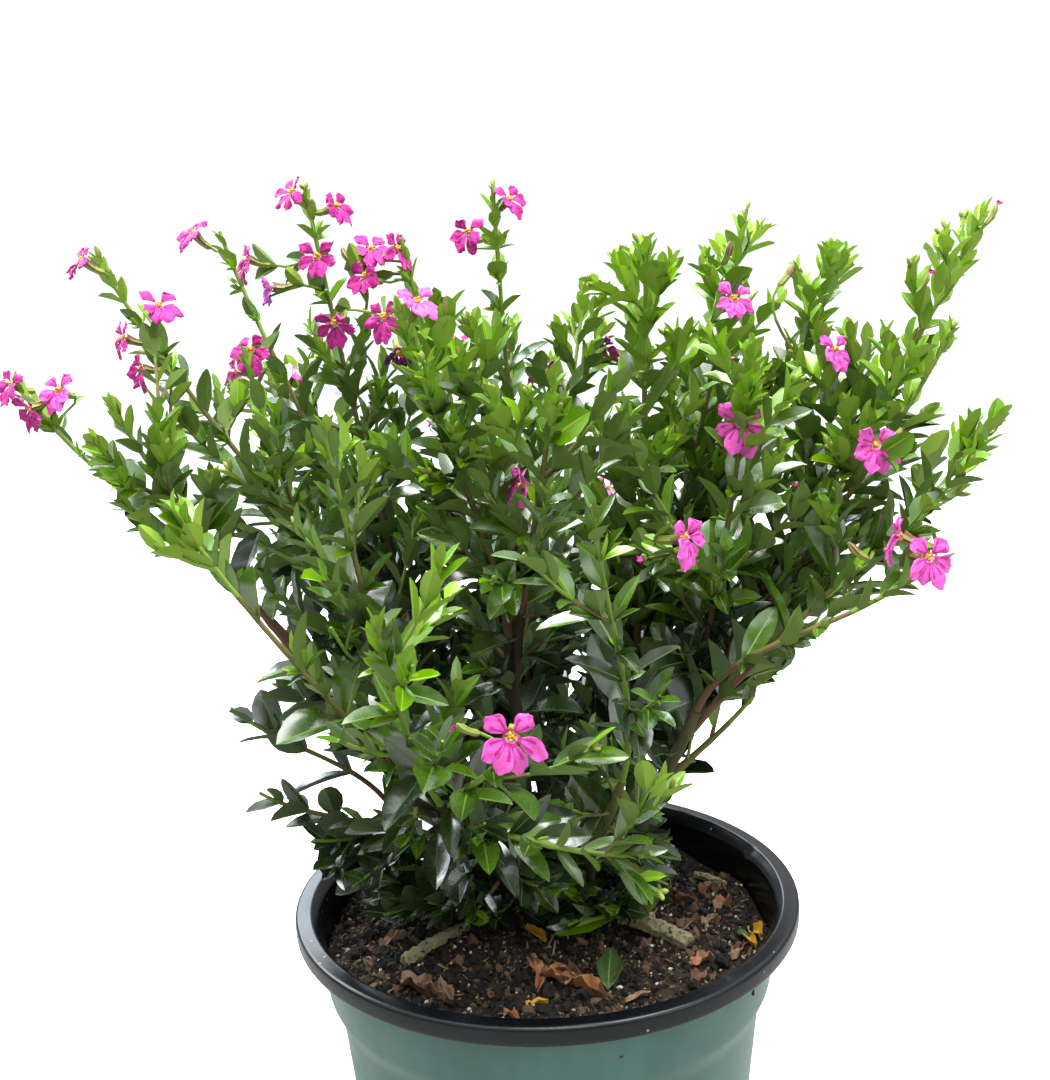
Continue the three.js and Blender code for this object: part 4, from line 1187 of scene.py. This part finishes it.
def add_spray(shoot, place, heading, reach, youth, random, finer=True):
    """A side spray that bends up, with its own crossed pairs of leaves, as long as its room allows"""
    length = reach
    while length > shortest_spray:
        rising = (heading + up * spray_rise).normalized()
        bend, tip = place + heading * length / 2, place + rising * length
        curve = Limb((place, place.lerp(bend, 2 / 3), tip.lerp(bend, 2 / 3), tip))
        if all(has_room(curve.at(share), shoot) for share in (0.5, 0.75, 1)):
            break
        length *= 0.8
    else:
        return False
    count = max(4, round(length / 4))
    radii = np.linspace(spray_radius, spray_tip_radius, count)
    base = OLIVE_TWIG if youth < 1.6 else GREEN_TWIG
    add_twig(curve.places(count), radii, spray_sides, base, GREEN_TWIG)
    wanted = heading.cross(up)
    turn = random() * math.pi
    growth = 1 + old_growth * old_share(place)
    closest = closest_pairs * (1 + old_tip_spacing * old_share(place))
    for distance in pair_places(length, min(4, length / 3), spray_pair_spacing * growth, closest):
        left = length - distance
        at, along = curve.at(distance / length), curve.along(distance / length)
        twig_places.append((at, along, shoot))
        young = youth + 0.9 * math.exp(-left / 12)
        turn += math.pi / 2
        size = float(np.interp(left, *spray_leaf_lengths)) * growth
        add_pair(shoot, at, along, wanted, turn, size, float(np.interp(left, *leaf_angles)), young, random)
        if finer and left > sprayless_tip and random() < finer_sprays:
            side = side_heading(along, wanted, turn + (math.pi if random() < 0.5 else 0), math.radians(44))
            if not add_spray(shoot, at, side, 6 + left * 0.5, young, random, False):
                add_tuft(shoot, at, side, wanted, turn, 6, young, random)
    grown_tips.append((curve.at(1), curve.along(1), youth + 1))
    return True


# Top of the leafy mass in the photograph, in its pixels. Above it shoots stand apart and carry no sprays.
leafy_top = ((0, 95, 130, 200, 330, 400, 470, 560, 600), (600, 430, 390, 400, 385, 350, 365, 345, 0))


def in_mass(place):
    u, v = in_picture(place)
    return v > np.interp(u, *leafy_top)


def grow_shoot(index, name):
    """A shoot's own twig with its pairs of leaves, and the sprays and tufts in their axils"""
    random = random_stream(index + 1)
    bushy, youth = shoots[name][4:]
    limb = leafy_limbs[name]
    length = limb.length()
    wanted = (limb.at(1) - limb.at(0)).cross(up)
    turn = 2 * math.pi * random()
    closest = closest_pairs * (1 + old_tip_spacing * old_share(limb.at(1)))
    closest *= 1 - aged_spacing * min(youth, 0)
    spacing = pair_spacing * (1 - youth)
    places = pair_places(length, 2 if limb.first else spacing, spacing, closest)
    count = round(length / 2.5) + 1
    along_twig = np.linspace(0, length, count)
    radii = leafy_radii[name] + (shoot_tip_radius - leafy_radii[name]) * (along_twig / length) ** 0.8
    nodes = np.array(places)[None, :]
    radii = radii * (1 + 0.16 * np.exp(-((along_twig[:, None] - nodes) / 1.3) ** 2).max(-1))
    base = GREEN_TWIG if index in slender_shoots else BROWN_TWIG
    add_twig(limb.places(count), radii, shoot_sides, base, GREEN_TWIG)
    for distance in places:
        share, left = distance / length, length - distance
        place, along = limb.at(share), limb.along(share)
        twig_places.append((place, along, index))
        # The height term darkens the low leaves and lightens the top ones, partly as painted shade and
        # painted light
        age = foot_age + height_youth_and_light * (place.z - oldest_height) / crown_depth + math.exp(-left / tip_fade)
        age += youth * (shoot_youth[0] + shoot_youth[1] * share)
        turn += math.pi / 2
        massed = in_mass(place)
        size = float(np.interp(left, *shoot_leaf_lengths)) * (1 + old_leaf_growth * old_share(place))
        size *= 1 - aged_leaf_growth * min(youth, 0) if massed else airy_growth
        add_pair(index, place, along, wanted, turn, size, float(np.interp(left, *leaf_angles)), age, random)
        if left < sprayless_tip:
            continue
        for side in (0, math.pi):
            reach = spray_reach * (1 - spray_reach_taper * share)
            reach *= 1 + spray_reach_spread * (random() - 0.5)
            angle = math.radians(spray_angle + spray_angle_spread * (random() - 0.5))
            heading = side_heading(along, wanted, turn + side, angle)
            grown = massed and random() < bushy
            grown = grown and add_spray(index, place, heading, reach, age, random)
            if not grown and random() < tuft_share - old_tuft_loss * old_share(place):
                add_tuft(index, place, heading, wanted, turn + side, 5 + 3 * random(), age + 0.2, random)
    grown_tips.append((limb.at(1), limb.along(1), age + 0.6))


for index, name in enumerate(shoots):
    grow_shoot(index, name)

# Old leaves and short sprays also sit on the stems and boughs. They close the crown's inside, and the lowest
# of them hang over the soil.
hanging_height = 178
hanging_fade = 40
old_pair_spacing = 8.2
old_leaf_length = 17.0
old_spray_reach = 22.0
old_angle = 56
old_angle_spread = 24
hanging_angle = 34
old_spray_share = 0.5
old_leaf_share = 0.4
random = random_stream(101)
for limb, radius_at in limb_lines:
    length = limb.length()
    turn = random() * math.pi
    for pair in range(round(length / old_pair_spacing)):
        share = (pair + 0.6) * old_pair_spacing / length
        if share > 0.99:
            break
        place, along = limb.at(share), limb.along(share)
        hanging = min(max((hanging_height - place.z) / hanging_fade, 0), 1)
        turn += math.pi / 2
        for side in (0, math.pi):
            angle = old_angle + hanging_angle * hanging + old_angle_spread * (random() - 0.5)
            heading = side_heading(along, Vector((1, 0, 0.01)), turn + side, math.radians(angle))
            root = place + heading * radius_at(share) * 0.8
            reach = old_spray_reach * (0.6 + 0.8 * random())
            drawn = random()
            if drawn < old_spray_share:
                add_spray(None, root, heading - up * 0.3 * hanging, reach, 0.1 + 0.3 * share, random, False)
            elif drawn < old_spray_share + old_leaf_share:
                size = old_leaf_length * (0.8 + 0.5 * random())
                add_leaf(None, root + heading, along, heading, size, 0.15, random)

# Short sprays from the stems' feet, which lie low over the soil: root and tip
ground_sprays = [
    ((-27, 6, 137), (-54, 2, 147)), ((-26, 2, 136), (-46, -10, 144)), ((-21, -1, 137), (-34, -16, 145)),
    ((-12, -5, 137), (-20, -18, 146)), ((-10, -5, 136), (-4, -16, 144)), ((-4, 0, 139), (4, -14, 146)),
    ((12, -3, 137), (9, -18, 146)), ((13, -3, 136), (24, -14, 144)), ((25, 6, 136), (44, 0, 143)),
    ((-18, 0, 136), (-27, -12, 140)), ((18, 2, 137), (16, -12, 141)), ((-30, 12, 137), (-50, 14, 143)),
    ((2, 26, 136), (-12, 46, 138)), ((10, 28, 136), (26, 44, 138)), ((-16, 20, 136), (-38, 34, 139)),
    ((18, 20, 136), (40, 30, 140)),
]
seedling = ((20, -12, 136), (37, -17, 140))  # a young shoot among them, with one long leaf
seedling_leaf = ((21, -12, 137), (2, -19, 136))
for root, tip in ground_sprays:
    line = Vector(tip) - Vector(root)
    heading = (line.normalized() - up * spray_rise).normalized()
    add_spray(None, Vector(root), heading, line.length, 0.25, random, True)
root, tip = Vector(seedling[0]), Vector(seedling[1])
add_spray(None, root, (tip - root).normalized(), (tip - root).length, 1.7, random, False)
root, tip = Vector(seedling_leaf[0]), Vector(seedling_leaf[1])
grown_leaves.append((*root, *(tip - root).normalized(), 0, -0.5, 1, (tip - root).length, 0.4, 0.1, FRESH))


# Flowers: each sits on a short stalk from a twig near a shoot's tip. A ribbed yellow-green tube opens in six
# crinkled magenta petals round a yellow middle, the upper two apart from the others.
calyx_length = 6.8
calyx_radius = 1.25
calyx_sides = 12  # two for each of its ribs
calyx_rings = 9
petal_length = 6.2
petal_width = 4.1
petal_angles = [-46, 48, -112, 110, -160, 160]  # degrees round the mouth, from its top
petal_thickness = 0.16
# Shares of a petal's length, and its half-widths there by its broadest
petal_outline = (
    [0, 0.15, 0.28, 0.4, 0.5, 0.62, 0.76, 0.88, 1],
    [0.16, 0.2, 0.4, 0.72, 0.9, 1, 0.98, 0.84, 0.42],
)
petal_rows = 9
petal_columns = 7
stamen_count = 9
nearest_carrier = 9.0
furthest_carrier = 60.0
long_stalk = 14
GREEN_CALYX, BROWN_CALYX, THROAT, FILAMENT = range(4)
MAGENTA, PINK, PALE_CLAW, VEIN, LILAC, WITHERED = range(6)

# Mouth of each flower that shows, then the way it faces: round from the right, and up, in degrees
open_flowers = [
    (-123, 10, 330, 214, 32), (-143, 0, 297, 225, 20), (-130, 0, 295, 250, 20), (-138, -2, 291, 220, -20),
    (-98, -10, 317, 300, 40), (-108, -8, 309, 202, 15), (-103, -12, 301, 215, 5), (-97, 34, 337, 220, 40),
    (-79, 22, 329, 200, 15), (-73, -16, 305, 260, 20), (-65, 22, 347, 216, 40), (-54, 22, 343, 338, 15),
    (-58, 12, 329, 270, 10), (-49, -24, 312, 250, -25), (-43, 14, 330, 290, 45), (-36, 10, 330, 330, 20),
    (-44, 8, 323, 228, 15), (-35, -34, 313, 230, 10), (-27, -38, 316, 300, 45), (-15, 18, 334, 235, 20),
    (-4, 24, 343, 320, 30), (59, 10, 313, 275, 15), (56, -20, 281, 260, 10),
    (85, 0, 298, 300, 20), (90, -26, 275, 275, 5), (98, -46, 249, 285, 5), (94, -40, 253, 170, 20),
    (-2, -30, 268, 200, 20), (37, -44, 256, 320, 10), (-7, -98, 225, 268, 5),
]
older_flowers = [(-71, 12, 321, 190, -5)]
withered_flowers = [(-33, -30, 304, 280, -30)]
flower_buds = [
    (71, -10, 287, 300, 40), (73, -10, 263, 280, 30), (27, -45, 252, 260, 20), (111, 0, 318, 330, 60),
    (129, 0, 336, 10, 60), (-19, -92, 226, 200, 30),
]
spent_flowers = [
    (60, 20, 329, 300, 60), (76, 10, 322, 20, 50), (97, -26, 279, 10, 50), (-51, 12, 331, 170, 50),
    (80, -40, 252, 200, 40),
]
# Flowers near the tips of the shoots at the back
back_blooms = {"back_left_rear": 4, "back_reach": 4, "back_top": 4, "back_right_rear": 4, "back_low": 2,
               "back_low_left": 1, "back_low_right": 1}
bloom_spacing = 11.0
bloom_turn = 2.4
low_flower = 290  # the flowers below it are nearer to the camera and look larger
bud_length = 6
spent_length = 7.5

blossom = Heap()
calyxes = Heap()
random = random_stream(202)
carrier_tree = KDTree(len(twig_places))
for i, (place, along, shoot) in enumerate(twig_places):
    carrier_tree.insert(place, i)
carrier_tree.balance()


def facing(turn, rise):
    turn, rise = math.radians(turn), math.radians(rise)
    return Vector((math.cos(turn) * math.cos(rise), math.sin(turn) * math.cos(rise), math.sin(rise)))


def add_stalk(base, heading):
    """A stalk from the nearest twig to a flower's base, with pairs of small leaves if it is a long one"""
    best, best_cost = None, 1e9
    for place, number, distance in carrier_tree.find_range(base, furthest_carrier):
        along = twig_places[number][1]
        forwards = along.dot((base - place).normalized()) if distance > 0.1 else 1
        cost = distance * (1.5 - 0.5 * forwards) + (12 if forwards < 0 else 0)
        if cost < best_cost:
            best, best_cost = number, cost
    if best is None:
        return
    place, along, shoot = twig_places[best]
    distance = (base - place).length
    reach = distance / 2.6
    curve = Limb((place, place + along * reach, base - heading * reach, base))
    count = max(5, round(distance / 3))
    radii = np.linspace(0.45 if distance < long_stalk else 0.55, 0.36, count)
    foot = OLIVE_TWIG if distance > long_stalk else GREEN_TWIG
    add_twig(curve.places(count), radii, spray_sides, foot, GREEN_TWIG)
    if distance > nearest_carrier:
        wanted = along.cross(up)
        pairs = max(1, round(distance / 9))
        for pair in range(1, pairs + 1):
            share = (pair - 0.25) / pairs
            turn = pair * math.pi / 2 + 1
            add_pair(shoot, curve.at(share), curve.along(share), wanted, turn, 9.5, 36, 2, random)


def add_calyx(mouth, heading, length, radius, brown, closed):
    """A ribbed tube, slightly bent, with six small teeth round its mouth"""
    base = mouth - heading * length
    bend = heading.cross(up).cross(heading).normalized() * -0.7
    curve = Limb((base, base + heading * length / 3 + bend, mouth - heading * length / 3 + bend, mouth))
    shares = np.linspace(0, 1, calyx_rings)
    turn = turns(calyx_sides)
    swell = np.interp(shares, [0, 0.12, 0.35, 0.75, 1], [0.45, 0.85, 0.8, 0.95, 0.35 if closed else 1.2])
    radii = radius * swell[:, None] * (1 + 0.12 * np.cos(calyx_sides / 2 * turn))
    corners, triangles = tube([tuple(curve.at(share)) for share in shares], radii, calyx_sides)
    if not closed:
        # The mouth is a dish, and every second rib ends in a tooth
        corners[-1] -= np.array(heading) * 1.1
        teeth = (calyx_rings - 1) * calyx_sides + np.arange(0, calyx_sides, 2)
        corners[teeth] += np.array(heading) * 0.6
    striped = np.repeat(shares[1:], calyx_sides)
    striped = striped + np.resize([0.0, 0.4], len(striped))  # the stripes start further down
    slots = np.repeat(np.where(striped > brown + 0.3, BROWN_CALYX, GREEN_CALYX), 2)
    foot = np.full(calyx_sides, slots[0])
    end = np.full(calyx_sides, slots[-1] if closed else THROAT)
    slots = np.concatenate([slots, foot, end])
    calyxes.add(corners, triangles, slots)


def add_petal(mouth, heading, outward, length, width, spread, tint):
    """A crinkled petal on a narrow claw, which leans out from the flower's axis"""
    across = heading.cross(outward)
    t = np.linspace(0, 1, petal_rows)[:, None]
    s = np.linspace(-1, 1, petal_columns)[None, :]
    half = width / 2 * np.interp(t, *petal_outline)
    lean = spread * (1 - np.exp(-5 * t)) + 0.9 * (random() - 0.25) * t
    step = length / (petal_rows - 1)
    out = np.cumsum(np.sin(lean) * step, axis=0)
    ahead = np.cumsum(np.cos(lean) * step, axis=0)
    ripple = 0.3 * np.sin(8 * t + 6 * random()) * s + 0.24 * np.cos(7 * t + 4 * s + 6 * random())
    ripple = ripple + 0.16 * np.sin(17 * t + 9 * s + 6 * random())
    ripple = ripple * np.clip(2.2 * t - 0.3, 0, 1) - 0.5 * s * s * half * (random() - 0.35)
    sideways = s * half
    normal = np.array(heading)[None, None, :] * np.sin(lean)[..., None]
    normal = normal - np.array(outward)[None, None, :] * np.cos(lean)[..., None]
    rounded_tip = -(0.9 * s * s + 0.1 * np.cos(8 * s + 6 * random())) * np.clip(3 * t - 2, 0, 1)
    grid = np.array(mouth) + np.array(outward) * (0.85 + out + rounded_tip)[..., None]
    grid = grid + np.array(heading) * ahead[..., None] * 0.8 + np.array(across) * sideways[..., None]
    grid = grid + normal * ripple[..., None]
    hang = length * (0.05 + 0.25 * random()) * t * t
    grid[..., 2] -= hang
    corners, triangles = sheet_of(grid, petal_thickness)
    cell = np.repeat(np.arange(petal_rows - 1), petal_columns - 1)
    column = np.tile(np.arange(petal_columns - 1), petal_rows - 1)
    cell_slots = np.full(len(cell), tint)
    cell_slots[cell == 0] = PALE_CLAW
    veined = (cell > 0) & (cell < 5) & ((column == 1) | (column == 4)) | (cell == 1)
    cell_slots[veined] = VEIN if tint == MAGENTA else MAGENTA
    edge_count = len(triangles) - 4 * len(cell)
    blossom.add(corners, triangles, np.concatenate([np.tile(cell_slots, 4), np.full(edge_count, tint)]))


def add_flower(x, y, z, turn, rise, size=1.0, tint=None, shut=0.0):
    mouth, heading = Vector((x, y, z)), facing(turn, rise)
    add_stalk(mouth - heading * calyx_length * size, (heading + up * 0.4).normalized())
    add_calyx(mouth, heading, calyx_length * size, calyx_radius * size, 0.55 + 0.4 * random(), False)
    deep = 0.8 if x < 20 and z > 285 else 0.1  # the flowers at the upper left are of a deeper colour
    tint = tint if tint is not None else (MAGENTA if random() < deep else PINK)
    top = (up - heading * heading.dot(up)).normalized()
    right = heading.cross(top)
    for angle in petal_angles:
        round_mouth = math.radians(angle + 14 * (random() - 0.5))
        outward = top * math.cos(round_mouth) + right * math.sin(round_mouth)
        length = petal_length * size * (0.9 + 0.2 * random()) * (1 - 0.5 * shut)
        width = petal_width * size * (0.85 + 0.3 * random()) * (1 - 0.6 * shut)
        spread = (1.35 + 0.7 * (random() - 0.5)) * (1 - 0.7 * shut)
        add_petal(mouth, heading, outward, length, width, spread, tint)
    # The middle: a ring of stamens with yellow heads
    for number in range(stamen_count):
        round_mouth = number * 2 * math.pi / stamen_count + random()
        outward = top * math.cos(round_mouth) + right * math.sin(round_mouth)
        away = 0.2 + 0.55 * random()
        foot = mouth - heading * 0.7
        head = mouth + heading * (0.7 + 0.9 * random()) + outward * away
        line = [tuple(at) for at in (foot, foot.lerp(head, 0.6), head, head + heading * 0.35)]
        corners, triangles = tube(line, [0.16, 0.14, 0.48, 0.14], 5)
        calyxes.add(corners, triangles, np.where(np.arange(len(triangles)) < 10, FILAMENT, THROAT))


for flower in open_flowers:
    add_flower(*flower, size=1.14 if flower[2] < low_flower else 0.9)
for flower in older_flowers:
    add_flower(*flower, tint=LILAC, shut=0.25)
for flower in withered_flowers:
    add_flower(*flower, size=0.9, tint=WITHERED, shut=0.6)
for name, blooms in back_blooms.items():
    limb = leafy_limbs[name]
    length = limb.length()
    wanted = (limb.at(1) - limb.at(0)).cross(up)
    for bloom in range(blooms):
        share = 0.99 - bloom_spacing * bloom / length
        along = limb.along(share)
        heading = side_heading(along, wanted, bloom_turn * (bloom + 1), math.radians(58))
        place = limb.at(share) + heading * (calyx_length + 4)
        if not in_outline(place + up * petal_length):
            continue
        turn, rise = math.atan2(heading.y, heading.x), math.asin(heading.z)
        add_flower(*place, math.degrees(turn), math.degrees(rise))
for *place, turn, rise in flower_buds:
    mouth, heading = Vector(place), facing(turn, rise)
    add_stalk(mouth - heading * bud_length, heading)
    add_calyx(mouth, heading, bud_length, 0.9, 1.1, True)
    outward = heading.orthogonal().normalized()
    add_petal(mouth - heading * 0.4, heading, outward, 2.4, 2, 0.3, MAGENTA)
for *place, turn, rise in spent_flowers:
    mouth, heading = Vector(place), facing(turn, rise)
    add_stalk(mouth - heading * spent_length, heading)
    add_calyx(mouth, heading, spent_length, 1.15, 0.7, True)

# Unopened buds are pale yellow-green drops between the youngest leaves
for place, along, youth in grown_tips:
    if youth < FRESH or random() < 0.6:
        continue
    for number in range(1 + int(3 * random())):
        turn = number * 2.4 + random()
        lean = math.radians(20 + 20 * random())
        heading = side_heading(along, along.orthogonal(), turn, lean)
        length = 2.2 + 2.2 * random()
        line = [place + heading * length * share for share in (0, 0.3, 0.65, 0.9, 1)]
        corners, triangles = tube([tuple(at) for at in line], np.array([0.25, 0.6, 0.7, 0.4, 0.12]), 6)
        calyxes.add(corners, triangles, GREEN_CALYX)

petal_colours = {
    "magenta_petal": (198, 44, 144), "pink_petal": (238, 98, 196), "pale_petal_claw": (238, 170, 214),
    "petal_vein": (160, 26, 118), "lilac_petal": (178, 84, 178),
}
petal_finishes = [grained_finish(name, colour, 0.5, 900, 0.9, 0.4, 0.3)
                  for name, colour in petal_colours.items()]
petal_finishes.append(grained_finish("withered_petal", (74, 40, 88), 0.7, 260, 0.5, 0.25, 0.25))
petals = blossom.piece("petals", petal_finishes, 70)
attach(petals, "root")
calyx_finishes = [
    grained_finish("green_calyx", (136, 148, 66), 0.5, 500),
    grained_finish("brown_calyx", (122, 84, 74), 0.55, 500),
    grained_finish("yellow_throat", (204, 160, 52), 0.6, 500),
    grained_finish("pale_filament", (232, 190, 190), 0.6, 500),
]
calyx_piece = calyxes.piece("calyxes", calyx_finishes, 60)
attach(calyx_piece, "root")

twig_finishes = [
    grained_finish("brown_twig", (104, 76, 56), 0.7, 500),
    grained_finish("olive_twig", (110, 104, 56), 0.65, 500),
    grained_finish("green_twig", (118, 146, 56), 0.6, 500),
]
twig_piece = twigs.piece("twigs", twig_finishes, 60)
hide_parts(*["foliage_" + name for name in shoots])
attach(twig_piece, "root")


# Leaves: small, pointed, glossy and folded along a paler rib, in crossed pairs. They are dark green when old
# and lime when young, and darker low in the crown and lighter at its top, partly as painted shade and painted
# light. Each age is a piece of its own.

# Three forms, by the shortest leaf of each: shares of the length, and the half-widths there by the broadest
leaf_forms = [
    ("small_leaves_", 0, [0.1, 0.46, 0.8], [0.48, 1.0, 0.66]),
    ("leaves_", 9.0, [0.06, 0.24, 0.48, 0.74, 0.91], [0.3, 0.82, 1.0, 0.82, 0.44]),
    ("large_leaves_", 14.0, [0.05, 0.18, 0.36, 0.56, 0.76, 0.92], [0.24, 0.64, 0.93, 1.0, 0.8, 0.4]),
]
longest_leaf = 99
leaf_fold = 0.5
fold_sharpness = 24  # degrees
leaf_thickness = 0.02
rib_share = 0.08
# Places across a leaf: to the side by the half-width, and lift
leaf_section = ((-1, leaf_fold), (-rib_share, 0), (rib_share, 0), (1, leaf_fold))
TINT_A, TINT_B, TINT_C, RIB, UNDERSIDE = range(5)


def leaf_piece(name, kind, shortest, longest, stations, halves, finishes):
    """All leaves of one age and size, as one mesh made from arrays"""
    rows = np.array([leaf[:-1] for leaf in grown_leaves
                     if leaf[-1] == kind and shortest <= leaf[9] < longest])
    if len(rows) == 0:
        return
    count = len(rows)
    dealt = np.random.default_rng(kind)
    root, heading, face = rows[:, 0:3], unit(rows[:, 3:6]), rows[:, 6:9]
    size, width_share, droop = rows[:, 9:10], rows[:, 10:11], rows[:, 11:12]
    over = unit(face - (face * heading).sum(-1, keepdims=True) * heading)
    across = np.cross(heading, over)
    half = size * width_share / 2
    twist = 0.25 * (dealt.random((count, 1)) - 0.5)
    corners = np.zeros((count, 5 * len(stations) + 2, 3))
    for station, (t, share) in enumerate(zip(stations, halves)):
        turned = across + over * twist * t * 2
        middle = root + heading * size * t - over * size * droop * t * t
        wave = 0.045 * np.sin(7 * t + 6 * dealt.random((count, 1)))
        for column, (side, lift) in enumerate(leaf_section):
            reach = half * (share if abs(side) == 1 else 1 - 0.7 * t)
            raised = over * reach * (lift + wave * lift * 4)
            corners[:, 5 * station + column] = middle + turned * side * reach + raised
        corners[:, 5 * station + 4] = middle - over * size * leaf_thickness * (1 - 0.6 * t)
    corners[:, -2] = root
    corners[:, -1] = root + heading * size - over * size * droop
    one = capped(len(stations), 5, (3, 4))
    side_slots = np.array([TINT_A, RIB, TINT_A, UNDERSIDE, UNDERSIDE])
    slots = np.concatenate([np.tile(np.repeat(side_slots, 2), len(stations) - 1), side_slots, side_slots])
    triangles = (one[None] + corners.shape[1] * np.arange(count)[:, None, None]).reshape(-1, 3)
    tint = dealt.integers(0, 3, count)[:, None]
    slots = np.where(slots[None] == TINT_A, tint, slots[None]).ravel()
    piece = mesh_piece(name, corners.reshape(-1, 3), triangles, slots, finishes, fold_sharpness)
    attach(piece, "root")


leaf_ages = {
    "dark": (DARK, [(28, 46, 12), (38, 58, 14), (26, 48, 22)], (82, 108, 52), (84, 104, 66), 0.24),
    "mid": (MID, [(62, 98, 2), (72, 110, 4), (52, 86, 6)], (112, 144, 52), (104, 130, 58), 0.27),
    "fresh": (FRESH, [(106, 150, 0), (118, 162, 0), (94, 138, 2)], (150, 184, 50), (132, 164, 52), 0.3),
    "lime": (LIME, [(126, 172, 0), (142, 186, 2), (114, 158, 0)], (182, 210, 58), (160, 194, 56), 0.34),
}
for age, (kind, tints, rib, underside, roughness) in leaf_ages.items():
    wax = 1.0 if kind < FRESH else 0.4
    finishes = [grained_finish(f"{age}_leaf_{number}", colour, roughness, 420, 0.35, 0.12, 0.4, wax)
                for number, colour in enumerate(tints)]
    finishes.append(grained_finish(age + "_leaf_rib", rib, roughness + 0.1, 420, 0.35, 0.12))
    finishes.append(grained_finish(age + "_leaf_underside", underside, 0.6, 420, 0.35, 0.12))
    limits = [form[1] for form in leaf_forms] + [longest_leaf]
    for (name, shortest, stations, halves), longest in zip(leaf_forms, limits[1:]):
        leaf_piece(name + age, kind, shortest, longest, stations, halves, finishes)
